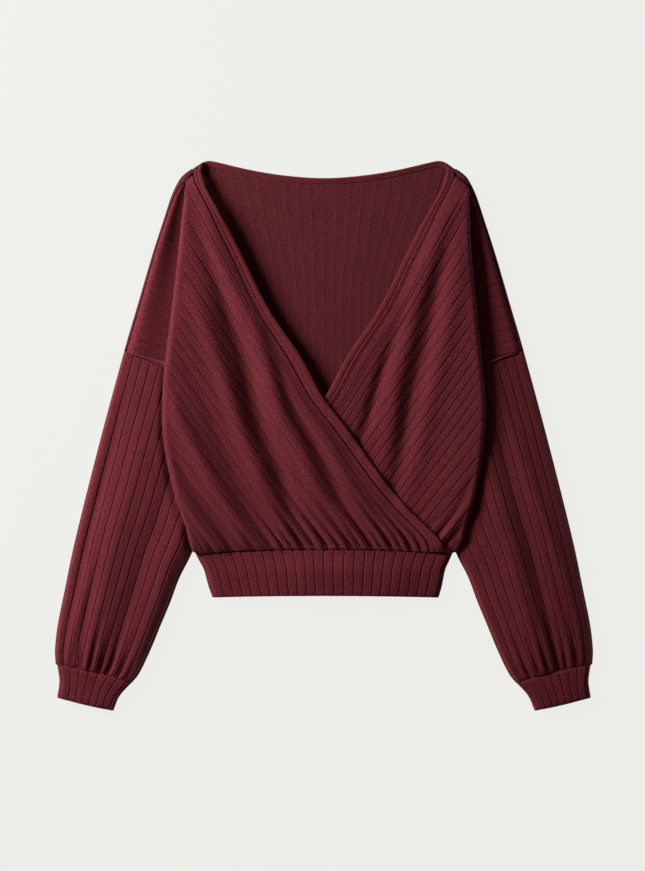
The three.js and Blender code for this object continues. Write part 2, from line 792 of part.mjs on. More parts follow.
function neckbandBack() {
  const ends = NECKLINE[NECKLINE.length - 1].out;
  const sections = Array.from({ length: NECK_SECTIONS + 1 }, (_, i) => {
    const x = mix(-ends, ends, i / NECK_SECTIONS);
    return {
      from: [x, neckline(Math.abs(x))],
      to: [x, neckline(Math.abs(x)) - neckBackWidth(Math.abs(x))],
      height: () => NECKBAND_THICKNESS / 2,
    };
  });
  return bar("neckband_back", sections, 1);
}

const top = new THREE.Group();
top.add(back());
top.add(neckbandBack());
top.add(waistband());
for (const [side, sign] of [["right", -1], ["left", 1]]) {
  top.add(front(side, sign));
  top.add(neckband(side, sign));
  top.add(sleeve(side, sign));
  top.add(cuff(side, sign));
}

export default top;
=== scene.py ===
import math

import bpy
import numpy as np
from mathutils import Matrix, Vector


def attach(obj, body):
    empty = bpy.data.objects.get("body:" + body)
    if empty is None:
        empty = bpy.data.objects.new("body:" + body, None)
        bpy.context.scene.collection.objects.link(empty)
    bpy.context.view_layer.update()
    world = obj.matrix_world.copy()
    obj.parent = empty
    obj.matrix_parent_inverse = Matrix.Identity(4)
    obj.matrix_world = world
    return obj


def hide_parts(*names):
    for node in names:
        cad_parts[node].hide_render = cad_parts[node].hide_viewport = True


# A cropped wrap top of wide-rib jersey, laid flat on its back, seen from straight above.
# Lengths are millimetres here and become metres when a mesh is made. +X is the wearer's left,
# +Y runs from hem to neck and +Z is up. "out" is a distance from the centre line towards the
# side that a piece belongs to, and a piece of the right side is turned over at the end.
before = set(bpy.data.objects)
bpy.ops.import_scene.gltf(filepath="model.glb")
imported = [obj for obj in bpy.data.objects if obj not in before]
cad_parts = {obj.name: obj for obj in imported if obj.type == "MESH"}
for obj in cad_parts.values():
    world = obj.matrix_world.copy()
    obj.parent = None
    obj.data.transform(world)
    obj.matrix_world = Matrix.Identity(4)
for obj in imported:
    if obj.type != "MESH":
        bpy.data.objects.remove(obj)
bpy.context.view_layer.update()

MM = 0.001
SIGN = {"right": -1, "left": 1}
WALL = 1.6
DOUBLED_WALL = 2.6
SEAM = 0.4
CLOSED_SEAM = 0.05
NECKBAND_THICKNESS = 3
SLEEVE_EDGE_RADIUS = 3.4
CUFF_THICKNESS = 11
WAISTBAND_THICKNESS = 12
WAISTBAND_EDGE_RADIUS = 5.5
LAYER_STEP = 3.8
FRONT_RIBS = 26
SLEEVE_RIBS = 12
CUFF_RIBS = 7
WAISTBAND_RIBS = 24

# A rib: flat on top, a little crowned, with a narrow groove on each side of it.
RIB_RAISE = 0.45
RIB_CROWN = 0.14
GROOVE_DEPTH = 1
GROOVE_HALF = 0.05
RIB_SAMPLES = np.array([0, 0.035, 0.07, 0.115, 0.19, 0.33, 0.5, 0.67, 0.81, 0.885, 0.93, 0.965])
COARSE_SAMPLES = np.array([0, 0.12, 0.5, 0.88])


def table(columns, *lines):
    """Rows of numbers with named columns, as one array for each column."""
    return dict(zip(columns.split(), np.array(lines, float).T))


# Shoulder point, shoulder slope, drop shoulder and outer edge of the sleeve.
OUTLINE = table(
    "y out",
    (344, 144), (342, 152.5), (337, 161), (329, 173), (322, 180), (302, 190), (272, 200),
    (227, 214.5), (167, 232), (105.6, 250), (-13, 282), (-133, 312), (-193, 324.5),
    (-238, 333.5), (-268, 336.8), (-286.5, 336),
)

# How far inside the outline the shoulder seam lies on the front.
SHOULDER_SEAM = table(
    "y inset",
    (330, 7), (323.5, 13.3), (313.9, 8.5), (302.5, 6), (283, 4.5), (250, 3.8), (105.6, 3.8),
)

# Top edge of the back neck over the shoulder point, and the width of the neckband below it,
# which tapers where it ends under the front's band.
NECKLINE = table(
    "out y band",
    (-24, 323.4, 8), (0, 322.5, 8), (24, 323.4, 8), (58, 326.9, 8), (88, 331.9, 8),
    (111, 336.9, 8), (130, 341.5, 8), (144, 344, 8), (152.5, 341.8, 8), (160, 336.6, 4),
    (163.4, 334.5, 1.6),
)

# Free edge of a front and the width of its neckband, measured straight across.
FRONT_EDGE = table(
    "y out band",
    (342, 156, 8), (334.4, 154.6, 9), (322, 151, 12), (308, 146.2, 11), (282, 132.1, 11.3),
    (252, 115.5, 14), (225, 102, 14), (157, 68, 16), (99, 29, 17), (47, 0.6, 16.5),
    (8.8, -28.8, 16), (-55.6, -75.1, 15), (-87, -101.3, 15), (-127, -141.6, 17),
    (-143.8, -152.9, 21),
)
NECKBAND_TOP = [(151.5, 341.6), (163.2, 333.6)]

# Armhole seam from the end of the shoulder to the underarm, and the side seam below it.
ARMHOLE = table(
    "out y",
    (250, 105.6), (223.7, 97), (198.7, 84.4), (167.4, 59.4), (140, 25.6), (116.2, -18.1),
)
SIDE_SEAM = table("y out", (-18.1, 116.2), (-80, 137), (-146.9, 159.6))

# Inner edge of the sleeve, from the underarm to the cuff, and the height of its crown.
SLEEVE_INNER = table(
    "y out",
    (-18.5, 117.7), (-80, 140.8), (-148, 165.5), (-178, 180.6), (-208, 191.9),
    (-238, 204.4), (-268, 216.8), (-298, 231.2), (-309.4, 240),
)
SLEEVE_CROWN = table(
    "along top",
    (0, 11.5), (0.2, 13.5), (0.5, 18), (0.8, 19), (0.93, 17), (1, 12.5),
)

# Sides of the cuff from its seam to its hem; bow lifts the middle of the line between them.
CUFF = table(
    "along outer outer_y inner inner_y bow",
    (0, 333.6, -286.55, 240.8, -309.45, 2.8),
    (0.5, 331, -307, 255.5, -326, 1),
    (1, 333.8, -327.5, 263.3, -344, -0.7),
)

# Half width of the waistband down its depth.
WAISTBAND = table("along half", (0, 161.3), (0.15, 157), (0.35, 151.5), (0.75, 146), (1, 141.5))

# A front, rib by rib from its neckband to its lower side corner. fold_y, right and left say
# where the rib turns over the side fold, waist where it ends at the waist seam, seam_y where it
# starts on the shoulder, and wing and under how high the layers beneath the fold lie.
FRONT = table(
    "rib fold_y right left waist seam_y wing under",
    (0, 323, 163.9, 163.9, -131.3, 323.5, 7.4, 7.8),
    (1, 309.4, 172, 179, -120.5, 316, 7.6, 9),
    (2, 295.6, 173, 180.4, -110, 309, 8, 11),
    (3, 273.5, 176, 181, -99.5, 302.5, 8.4, 12),
    (5, 229.4, 180.3, 182.5, -78, 274.4, 9, 12.8),
    (9, 157, 188.8, 189.5, -32, 218, 9.2, 12.8),
    (14, 83, 197.8, 197, 33, 147.8, 9.2, 12.8),
    (17, 37, 200.3, 200.5, 59.9, 105.6, 9.2, 12.8),
    (19, -4.4, 199.1, 199, 84, 80, 9.2, 12.8),
    (22, -72, 185.6, 188.6, 123, -18.1, 7.2, 12.8),
    (24, -113, 171.4, 176.8, 147.5, -80, 3.6, 12.6),
    (25, -132, 167, 172.1, 155, -115, 3.4, 11.5),
    (26, -145.6, 162.6, 163.2, 158.8, -146.5, 3.3, 6.5),
)

# Height of a front along its side fold and across its middle, where the left one lies lower.
FRONT_HEIGHT = table(
    "y fold middle",
    (338, 5, 5), (323, 8.8, 8.8), (309, 13, 11), (295, 17, 12.5), (273, 20.5, 14.2),
    (229, 23, 15.6), (157, 24.5, 16), (0, 24.5, 16), (-72, 24, 16), (-113, 21, 15.5),
    (-150, 20, 15),
)
LEFT_FRONT_DROP = 3
LEFT_DROP_Y = 300
LEFT_DROP_FADE = 60
SIDE_FOLD_SPREAD = 110

# How the upper layer of a front clears the layer beneath its fold and the other front.
UNDER_CLEAR = 2.8
UNDER_REACH = 40
UNDER_SLOPE = 0.35
UNDER_START = 20
UNDER_START_FADE = 30
UNDER_END_Y = -148
UNDER_END_FADE = 20
UNDER_ROUND = 0.6
LAYER_ROUND = 2

# Over the waist seam a front rolls down, and under its inner fold it bulges.
WAIST_ROLL = 30
WAIST_HEIGHT = {"right": 11.4, "left": 8}
CURL_BULGE = 1.8

# How full the drape folds of a front are, and how they fade at the side fold and at their ends.
DRAPE_FULLNESS = 1.6
DRAPE_MARGIN = 3
DRAPE_FADE = 20
DRAPE_TAPER = 0.6
SLOPE_STEP = 2

# The drape folds, ridges and troughs: how high, how wide, and the points (out, y) that each
# runs through.
DRAPE = {
    "right": [
        (5, 13, (151, 288), (136, 238), (117, 194), (91, 144), (72, 94), (53, 29), (36, -4),
         (19, -40), (0, -83), (-20, -108), (-42, -151)),
        (-2.4, 9, (77, 132), (57, 79), (40, 37), (17, -4), (1, -32), (-13, -61), (-25, -88),
         (-52, -131)),
        (2.4, 9, (49, 79), (30, 41), (7, 9), (-10, -18), (-26, -49), (-42, -77), (-60, -106),
         (-88, -146)),
        (-4.6, 11, (165, 288), (147, 232), (132, 191), (115, 138), (98, 88), (88, 44), (77, 6),
         (60, -33), (49, -66), (40, -95), (17, -146)),
        (4.6, 12, (165, 190), (143, 125), (123, 70), (111, 30), (98, -6), (86, -33), (73, -66),
         (61, -88), (41, -122), (23, -151)),
        (-1.4, 9, (186, 120), (166, 75), (147, 35), (132, 0), (118, -33), (107, -60), (95, -88),
         (78, -117), (58, -151)),
        (3.8, 10, (195, 60), (181, 25), (166, -5), (151, -33), (135, -62), (119, -88), (99, -119),
         (78, -151)),
        (-1.8, 8, (197, -5), (183, -33), (166, -62), (147, -88), (125, -118), (100, -151)),
        (2.2, 7, (197, -45), (186, -66), (170, -90), (150, -115), (122, -149)),
    ],
    "left": [
        (4.3, 12, (160, 294), (145, 251), (131, 213), (116, 174), (103, 118), (90, 68), (83, 14),
         (78, -18), (70, -62)),
        (-3, 11, (163, 282), (151, 232), (143, 197), (134, 138), (123, 91), (113, 51),
         (104, 9), (98, -32), (90, -61), (81, -96)),
        (3.2, 14, (173, 244), (161, 182), (151, 132), (141, 82), (131, 38), (121, -6),
         (111, -49), (101, -81), (90, -112)),
        (-3.6, 8, (98, 144), (79, 96), (64, 52), (53, 14), (43, -8), (30, -31)),
        (-1.8, 6, (198, -16), (190, -47), (174, -79), (160, -102), (145, -126)),
        (1.6, 6, (200, -43), (185, -77), (165, -103), (150, -126), (138, -146)),
        (-1.6, 6, (188, -91), (173, -116), (158, -141)),
    ],
}

# The left front sinks by this much where the right one covers it.
COVERED_SINK = 7
COVERED_MARGIN = 8
COVERED_FADE = 22

# Pleats that the waist seam gathers in: troughs, each with a smaller ridge beside it.
PLEAT_FULLNESS = 2.3
PLEAT_START = 3
PLEAT_RIDGE = 0.45
PLEAT_RIDGE_SHIFT = 0.6
PLEAT_RIDGE_SPREAD = 0.4

# The place of each pleat among the ribs, its depth, how far up it runs and how wide it is.
PLEATS = {
    "right": table(
        "rib depth reach spread",
        (0.8, 1.2, 26, 0.35), (2, 2.4, 40, 0.4), (3.1, 1.4, 24, 0.3), (4.2, 2.6, 52, 0.45),
        (5.3, 1.5, 26, 0.35), (6.4, 2.8, 46, 0.4), (7.6, 1.8, 30, 0.35), (8.5, 2.4, 60, 0.45),
        (9.7, 1.6, 26, 0.35), (10.9, 2.8, 50, 0.45), (12.1, 1.8, 34, 0.35), (13.2, 2.4, 44, 0.4),
        (14.4, 1.4, 26, 0.35), (15.6, 1.8, 38, 0.4), (17.3, 1.2, 26, 0.35), (19.1, 1.2, 30, 0.4),
        (21.2, 1, 24, 0.35), (23, 0.8, 20, 0.35),
    ),
    "left": table(
        "rib depth reach spread",
        (17.5, 1.2, 30, 0.4), (19.2, 1.6, 34, 0.4), (20.7, 1.4, 30, 0.35), (22.2, 1.8, 34, 0.4),
        (23.6, 1.2, 24, 0.35),
    ),
}


def mix(a, b, t):
    return a + (b - a) * t


def ease(x):
    x = np.clip(x, 0, 1)
    return x * x * (3 - 2 * x)


def soft_max(a, b, width):
    return (a + b + np.hypot(a - b, width)) / 2


def soft_min(a, b, width):
    return (a + b - np.hypot(a - b, width)) / 2


def bell(x):
    return np.exp(-np.square(x))


def arch(x):
    """Up from nothing at 0 and down to nothing at 1."""
    return np.sin(np.pi * np.clip(x, 0, 1))


def through(rows, source, target):
    """Smooth curve through a column of a table, as a function of another column."""
    xs, ys = rows[source], rows[target]
    if xs[-1] < xs[0]:
        xs, ys = xs[::-1], ys[::-1]
    place = np.arange(len(xs))
    before, after = np.maximum(place - 1, 0), np.minimum(place + 1, len(xs) - 1)
    slopes = (ys[after] - ys[before]) / (xs[after] - xs[before])

    def value(x):
        i = np.clip(np.searchsorted(xs, x, side="right") - 1, 0, len(xs) - 2)
        span = xs[i + 1] - xs[i]
        t = np.clip((x - xs[i]) / span, 0, 1)
        start = (1 + 2 * t) * (1 - t) ** 2
        lean = t * (1 - t) ** 2 * slopes[i] + t * t * (t - 1) * slopes[i + 1]
        return start * ys[i] + (1 - start) * ys[i + 1] + span * lean

    return value


outline = through(OUTLINE, "y", "out")
seam_inset = through(SHOULDER_SEAM, "y", "inset")
neckline = through(NECKLINE, "out", "y")
neck_back_width = through(NECKLINE, "out", "band")
front_edge = through(FRONT_EDGE, "y", "out")
neckband_width = through(FRONT_EDGE, "y", "band")
armhole_y = through(ARMHOLE, "out", "y")
side_seam = through(SIDE_SEAM, "y", "out")
sleeve_inner = through(SLEEVE_INNER, "y", "out")
sleeve_crown = through(SLEEVE_CROWN, "along", "top")
waistband_half = through(WAISTBAND, "along", "half")
fold_height = through(FRONT_HEIGHT, "y", "fold")
middle_height = through(FRONT_HEIGHT, "y", "middle")
fold_edge = {side: through(FRONT, "fold_y", side) for side in SIGN}
under_height = through(FRONT, "fold_y", "under")
front_fold_y = through(FRONT, "rib", "fold_y")
front_waist = through(FRONT, "rib", "waist")
front_seam_y = through(FRONT, "rib", "seam_y")
front_wing = through(FRONT, "rib", "wing")
front_under = through(FRONT, "rib", "under")

WAIST_HALF = 160
WAIST_TOP = -141.5
WAIST_DIP = 6.5
WAIST_CURVE = 2.5
HEM_Y = -200
HEM_DIP = 2.5
UNDERARM = (ARMHOLE["out"][-1], ARMHOLE["y"][-1])
SHOULDER_END = (ARMHOLE["out"][0], ARMHOLE["y"][0])
APEX = (171, FRONT["fold_y"][1])


def waist_seam(x):
    return WAIST_TOP - WAIST_DIP * np.abs(x / WAIST_HALF) ** WAIST_CURVE


def neck_seam(y):
    return front_edge(y) + neckband_width(y)


def inner_fold(y):
    """Line along which a front turns under, from its shoulder seam to the underarm."""
    return mix(APEX[0], UNDERARM[0], (APEX[1] - y) / (APEX[1] - UNDERARM[1]))


def least_height(out, y):
    """Least height of a front's upper layer over its own layer beneath the fold."""
    under = np.maximum(under_height(y), under_height(y - UNDER_REACH))
    inner = np.where(y > UNDERARM[1], inner_fold(y), side_seam(y))
    past = np.maximum(0, inner - CURL_BULGE - WALL - out)
    start = ease((APEX[1] + UNDER_START - y) / UNDER_START_FADE)
    end = ease((y - UNDER_END_Y) / UNDER_END_FADE)
    return start * end * (under + UNDER_CLEAR) - UNDER_SLOPE * past


def drape_fold(rise, width, *points):
    """Height that one drape fold adds over a point of the surface."""
    places = table("out y", *points)
    centre = through(places, "y", "out")
    high, low = places["y"][0], places["y"][-1]

    def height(out, y):
        lean = (centre(y + SLOPE_STEP) - centre(y - SLOPE_STEP)) / (2 * SLOPE_STEP)
        across = (out - centre(y)) / np.hypot(1, lean)
        along = np.clip((high - y) / (high - low), 0, 1)
        taper = np.sin(np.pi * along) ** DRAPE_TAPER
        return DRAPE_FULLNESS * rise * taper * bell(across / width)

    return height


drape_folds = {side: [drape_fold(*fold) for fold in folds] for side, folds in DRAPE.items()}


def own_height(side, out, y):
    """Height of the middle of a front's cloth over a point of the surface."""
    inward = fold_edge[side](y) - out
    middle = middle_height(y)
    if side == "left":
        middle = middle - LEFT_FRONT_DROP * ease((LEFT_DROP_Y - y) / LEFT_DROP_FADE)
    height = mix(fold_height(y), middle, ease(inward / SIDE_FOLD_SPREAD))
    for fold in drape_folds[side]:
        height = height + fold(out, y) * ease((inward + DRAPE_MARGIN) / DRAPE_FADE)
    if side == "left":
        covered = -front_edge(y) - out - COVERED_MARGIN
        height = height - COVERED_SINK * ease(covered / COVERED_FADE)
    height = soft_max(height, least_height(out, y), UNDER_ROUND)
    roll = np.clip((y - waist_seam(out)) / WAIST_ROLL, 0, 1)
    seam = WAIST_HEIGHT[side]
    return seam + (height - seam) * np.sqrt(1 - (1 - roll) ** 2)


def front_height(side, out, y):
    """The right front lies on the left one."""
    own = own_height(side, out, y)
    if side == "left":
        return own
    return soft_max(own, own_height("left", -out, y) + LAYER_STEP, LAYER_ROUND)


def rib_raise(at, depth=GROOVE_DEPTH):
    """How far a rib stands out of the plain wall; whole numbers are grooves."""
    t = at % 1
    groove = depth * bell(np.minimum(t, 1 - t) / GROOVE_HALF)
    return RIB_RAISE + 4 * RIB_CROWN * t * (1 - t) - groove


def rib_stations(ribs, samples=RIB_SAMPLES):
    return np.append((np.arange(ribs)[:, None] + samples).ravel(), ribs)


class Skin:
    """A closed surface made of grids of points and of strips that join their edges."""

    def __init__(self):
        self.points, self.uvs, self.faces, self.count = [], [], [], 0

    def grid(self, points, uv, closed=False, turned=False):
        index = self.count + np.arange(points[..., 0].size).reshape(points.shape[:2])
        self.count += index.size
        self.points.append(points.reshape(-1, 3))
        self.uvs.append(uv.reshape(-1, 2))
        ring = np.concatenate([index, index[:, :1]], axis=1) if closed else index
        a, b, c, d = ring[:-1, :-1], ring[1:, :-1], ring[1:, 1:], ring[:-1, 1:]
        quads = np.stack([a, d, c, b] if turned else [a, b, c, d], axis=-1)
        self.faces += quads.reshape(-1, 4).tolist()
        return index

    def strip(self, first, second, first_at, second_at):
        """Joins two edges that run the same way; "at" says how far along each point lies."""
        i = j = 0
        while i + 1 < len(first) or j + 1 < len(second):
            step_first = j + 1 >= len(second) or (
                i + 1 < len(first) and first_at[i + 1] <= second_at[j + 1]
            )
            if step_first:
                self.faces.append([int(first[i + 1]), int(first[i]), int(second[j])])
                i += 1
            else:
                self.faces.append([int(first[i]), int(second[j]), int(second[j + 1])])
                j += 1

    def piece(self, name, material, slot, nodes=(), sign=1):
        """The finished object, with its faces turned to point out of the cloth."""
        points = np.concatenate(self.points) * MM * np.array([sign, 1, 1])
        a, b, c = (points[[f[k] for f in self.faces]] for k in range(3))
        d = points[[f[-1] for f in self.faces]]
        volume = (a * np.cross(b, c)).sum() + (a * np.cross(c, d)).sum()
        faces = self.faces if volume > 0 else [f[::-1] for f in self.faces]
        mesh = bpy.data.meshes.new(name)
        mesh.from_pydata(points.tolist(), [], faces)
        mesh.polygons.foreach_set("use_smooth", [True] * len(mesh.polygons))
        corners = np.empty(len(mesh.loops), int)
        mesh.loops.foreach_get("vertex_index", corners)
        layer = mesh.uv_layers.new(name="cloth")
        layer.data.foreach_set("uv", np.concatenate(self.uvs)[corners].ravel())
        mesh.materials.append(material)
        made = bpy.data.objects.new(name, mesh)
        bpy.context.scene.collection.objects.link(made)
        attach(made, "root")
        if nodes:
            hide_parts(*nodes)
        return made


LEAST_LENGTH = 1e-9


def facing(sheet):
    """Direction that a grid of points faces at each of them."""
    across, along = np.gradient(sheet, axis=0), np.gradient(sheet, axis=1)
    normal = np.cross(along, across)
    return normal / np.maximum(np.linalg.norm(normal, axis=2, keepdims=True), LEAST_LENGTH)


def shell(sheet, uv, raised, sunk, keep_rows, keep_columns):
    """A wall of cloth round a middle sheet. Its wrong side keeps only some rows and columns."""
    normal = facing(sheet)
    skin = Skin()
    outer = skin.grid(sheet + normal * (WALL / 2 + raised)[..., None], uv)
    wrong = (sheet - normal * (WALL / 2 + sunk)[..., None])[keep_rows][:, keep_columns]
    inner = skin.grid(wrong, uv[keep_rows][:, keep_columns], turned=True)
    rows, columns = np.arange(sheet.shape[0]), np.arange(sheet.shape[1])
    skin.strip(outer[:, 0], inner[:, 0], rows, keep_rows)
    skin.strip(outer[-1], inner[-1], columns, keep_columns)
    skin.strip(outer[::-1, -1], inner[::-1, -1], -rows[::-1], -keep_rows[::-1])
    skin.strip(outer[0, ::-1], inner[0, ::-1], -columns[::-1], -keep_columns[::-1])
    return skin


def every(count, step):
    """Every step-th of a number of rows, always with the last."""
    return np.unique(np.append(np.arange(0, count, step), count - 1))


def lengths(sheet, axis):
    """Distance along the lines of a grid, for the weave's coordinates."""
    steps = np.linalg.norm(np.diff(sheet, axis=axis), axis=2)
    pad = [(1, 0), (0, 0)] if axis == 0 else [(0, 0), (1, 0)]
    return np.pad(np.cumsum(steps, axis=axis), pad)


# Fronts: the ribs that start at the shoulder's end and at the underarm, and how a rib runs.
ARMHOLE_RIB = 17
UNDERARM_RIB = 22
RIB_PITCH = 11.7
RIB_LEAN = 3.2
SIDE_LAP = 1.5
SIDE_STEP = 0.2
SIDE_END_HEIGHT = 2.9
WAIST_CLEAR = 0.1
WAIST_ROLL_SHARE = 0.6
SEAM_DIP = 0.9
SEAM_DIP_WIDTH = 2.2

# The side fold: a half turn from the layer beneath it to the upper one, flat at the first ribs.
LEAST_RADIUS = 0.4
FOLD_FULLNESS = 0.9
FOLD_INSET = 0.3
TURN_FULLNESS = 0.92
OPEN_RIBS = 3

# The wing, from the armhole seam to the inner fold: low, but for a swell beside its seam.
LEAST_WING = 0.6
WING_DROP = 0.3
WING_LOW = 2.9
WING_LOW_RIBS = 3
WING_SWELL = {"right": 7, "left": 3.6}
WING_SPAN = 42
SWELL_PLACE = 0.06
SWELL_SPREAD = 0.25
WING_GROOVE = 0.45
GROOVE_RISE = 4

# Points along each stretch of a rib, and how they crowd towards its start or end.
WING_SAMPLES = 20
WING_CROWDING = 1.4
CURL_SAMPLES = 9
UNDER_SAMPLES = 8
UPPER_SAMPLES = 84
ROLL_SAMPLES = 18
ROLL_CROWDING = 1.3


def armhole(t):
    out = mix(SHOULDER_END[0], UNDERARM[0], t)
    return out, armhole_y(out)


# Sleeve: its plan from edge to edge, and the height of its upper side, which lies pressed
# under the front.
SLEEVE_START = -0.25
CUFF_SEAM_BOW = 2.8
ARMHOLE_FADE = 1.6
CROWN_FULLNESS = 0.42
SLEEVE_UNDER_CLEAR = 3.3
PRESSED_REACH = 3
PRESSED_SLOPE = 0.9
PRESSED_END = 0.6
PRESSED_ROUND = 1


def sleeve_place(u, v):
    outer_y = mix(SHOULDER_END[1], OUTLINE["y"][-1], v)
    inner_y = mix(SLEEVE_INNER["y"][0], SLEEVE_INNER["y"][-1], v)
    bow = armhole(u)[1] - mix(SHOULDER_END[1], SLEEVE_INNER["y"][0], u)
    bow = bow * (1 - v) ** ARMHOLE_FADE + 4 * CUFF_SEAM_BOW * u * (1 - u) * v * v
    out = mix(outline(outer_y), sleeve_inner(inner_y), u)
    return out, mix(outer_y, inner_y, u) + bow - SLEEVE_START * (1 - v)


def sleeve_top(side, u, v):
    low = 2 * SLEEVE_EDGE_RADIUS
    crown = low + (sleeve_crown(v) - low) * arch(u) ** CROWN_FULLNESS
    out, y = sleeve_place(u, v)
    pressed = np.maximum(low, under_height(y) - SLEEVE_UNDER_CLEAR)
    release = np.maximum(0, out - fold_edge[side](y) - PRESSED_REACH) * PRESSED_SLOPE
    free = (y < FRONT["fold_y"][-1]) | (v > PRESSED_END)
    under_front = np.maximum(low, soft_min(crown, pressed + release, PRESSED_ROUND))
    return np.where(free, crown, under_front)


def upper_y(rib):
    """Where the upper layer of a rib is measured, from the side fold down to the waist."""
    start, end = front_fold_y(rib), waist_seam(front_waist(rib)) + WAIST_CLEAR
    roll = min(WAIST_ROLL, WAIST_ROLL_SHARE * (start - end))
    upper = mix(start, end + roll, np.linspace(0, 1, UPPER_SAMPLES))
    return np.append(upper, end + roll * np.linspace(1, 0, ROLL_SAMPLES)[1:] ** ROLL_CROWDING)


def rib_seam_point(side, rib):
    """Where a rib starts: on the shoulder, the armhole seam or the side seam."""
    if rib <= ARMHOLE_RIB:
        y = front_seam_y(rib)
        return np.array([outline(y) - seam_inset(y), y, 2 * SLEEVE_EDGE_RADIUS - WALL / 2])
    start = seam_inset(SHOULDER_END[1]) / (SHOULDER_END[0] - UNDERARM[0])
    share = (rib - ARMHOLE_RIB) / (UNDERARM_RIB - ARMHOLE_RIB)
    if share <= 1:
        t = mix(start, 1, share)
        return np.array([*armhole(t), float(sleeve_top(side, t, 0.0)) - WALL / 2])
    down = (rib - UNDERARM_RIB) / (FRONT_RIBS - UNDERARM_RIB)
    y = mix(UNDERARM[1], SIDE_SEAM["y"][-1], down)
    z = mix(2 * SLEEVE_EDGE_RADIUS - WALL / 2, SIDE_END_HEIGHT, ease(3 * down))
    return np.array([side_seam(y) - SIDE_LAP * ease(2 * down), y, z])


def rib_inner_point(seam, rib):
    """Where a rib turns back towards the side fold."""
    if rib >= UNDERARM_RIB:
        return seam[0] - LEAST_WING, seam[1] - SIDE_STEP
    guess = min(inner_fold(seam[1]), seam[0] - LEAST_WING)
    y = seam[1] - WING_DROP * (seam[0] - guess)
    return min(inner_fold(y), seam[0] - LEAST_WING), y


def line(start, end, count):
    return mix(np.array(start, float), np.array(end, float), np.linspace(0, 1, count)[:, None])


def curl(start, end, bulge, count):
    """Half a turn from one point to the other, standing out by a bulge."""
    turn = np.linspace(0, np.pi, count)
    points = mix(np.array(start, float), np.array(end, float), (1 - np.cos(turn))[:, None] / 2)
    points[:, 0] += bulge * np.sin(turn)
    return points


def pleats(side, rib, up):
    """Depth of the pleats that the waist seam gathers in, by the distance up from it."""
    depth = 0
    for at, deep, reach, spread in zip(*PLEATS[side].values()):
        fade = (1 - np.exp(-up / PLEAT_START)) * bell(up / reach)
        ridge = PLEAT_RIDGE * bell((rib - at - PLEAT_RIDGE_SHIFT) / PLEAT_RIDGE_SPREAD)
        depth = depth + PLEAT_FULLNESS * deep * fade * (bell((rib - at) / spread) - ridge)
    return depth


def rib_line(side, rib):
    """One rib of a front from its seam, under the side fold and back over it to the waist."""
    seam = rib_seam_point(side, rib)
    inner_out, inner_y = rib_inner_point(seam, rib)
    fold_y = front_fold_y(rib)
    edge = fold_edge[side](fold_y)
    wing = max(front_wing(rib), seam[2] if rib > UNDERARM_RIB else 0)
    under = front_under(rib)
    radius = max((front_height(side, edge, fold_y) - under) / 2, LEAST_RADIUS)
    open_out = ease(rib / OPEN_RIBS)
    bulge = min((under - wing) / 2, CURL_BULGE) * open_out
    fold = edge - radius * FOLD_FULLNESS * open_out - FOLD_INSET
    y, neck = upper_y(rib), upper_y(0)
    along = (y - y[0]) / (y[-1] - y[0])
    neck_along = (neck - neck[0]) / (neck[-1] - neck[0])
    neck_curve = neck_seam(neck) - mix(neck_seam(neck[0]), neck_seam(neck[-1]), neck_along)
    out = mix(fold, front_waist(rib), along) + np.exp(-rib / RIB_LEAN) * neck_curve
    height = front_height(side, out, y) - pleats(side, rib, y - y[-1])
    free = float(ease((UNDERARM_RIB - rib) / WING_LOW_RIBS))
    wing = mix(wing, WING_LOW, free)
    share = np.linspace(0, 1, WING_SAMPLES) ** WING_CROWDING
    wing_line = mix(seam, np.array([inner_out, inner_y, wing]), share[:, None])
    from_seam = np.linalg.norm(wing_line - seam, axis=1)
    swell = free * WING_SWELL[side] * min(1, (seam[0] - inner_out) / WING_SPAN)
    swell = swell * bell((share - SWELL_PLACE) / SWELL_SPREAD) * ease(share / SWELL_PLACE)
    wing_line[:, 2] += swell
    wing_line[:, 2] -= SEAM_DIP * bell(from_seam / SEAM_DIP_WIDTH)
    inner_under, fold_under = (inner_out, inner_y, under), (fold, fold_y, under)
    upper = np.stack([out, y, height], axis=1)
    return np.concatenate([
        wing_line[:-1],
        curl((inner_out, inner_y, wing), inner_under, -bulge, CURL_SAMPLES),
        line(inner_under, fold_under, UNDER_SAMPLES)[1:-1],
        curl(fold_under, upper[0], TURN_FULLNESS * radius * open_out, CURL_SAMPLES),
        upper[1:],
    ])


def front(side):
    stations = rib_stations(FRONT_RIBS)
    sheet = np.array([rib_line(side, rib) for rib in stations])
    rows, columns = sheet.shape[:2]
    # Grooves are shallower up to the side fold, where the upper layer starts.
    upper_start = WING_SAMPLES + 2 * CURL_SAMPLES + UNDER_SAMPLES - 3
    rise = ease((np.arange(columns) - upper_start) / GROOVE_RISE)
    raised = rib_raise(stations[:, None], GROOVE_DEPTH * mix(WING_GROOVE, 1, rise)[None, :])
    uv = np.stack([np.repeat(stations[:, None] * RIB_PITCH, columns, 1), lengths(sheet, 1)], 2)
    skin = shell(sheet, uv, raised, 0 * raised, every(rows, 4), every(columns, 2))
    return skin.piece("front_" + side + "_cloth", jersey, "rib_jersey", ["front_" + side], SIGN[side])


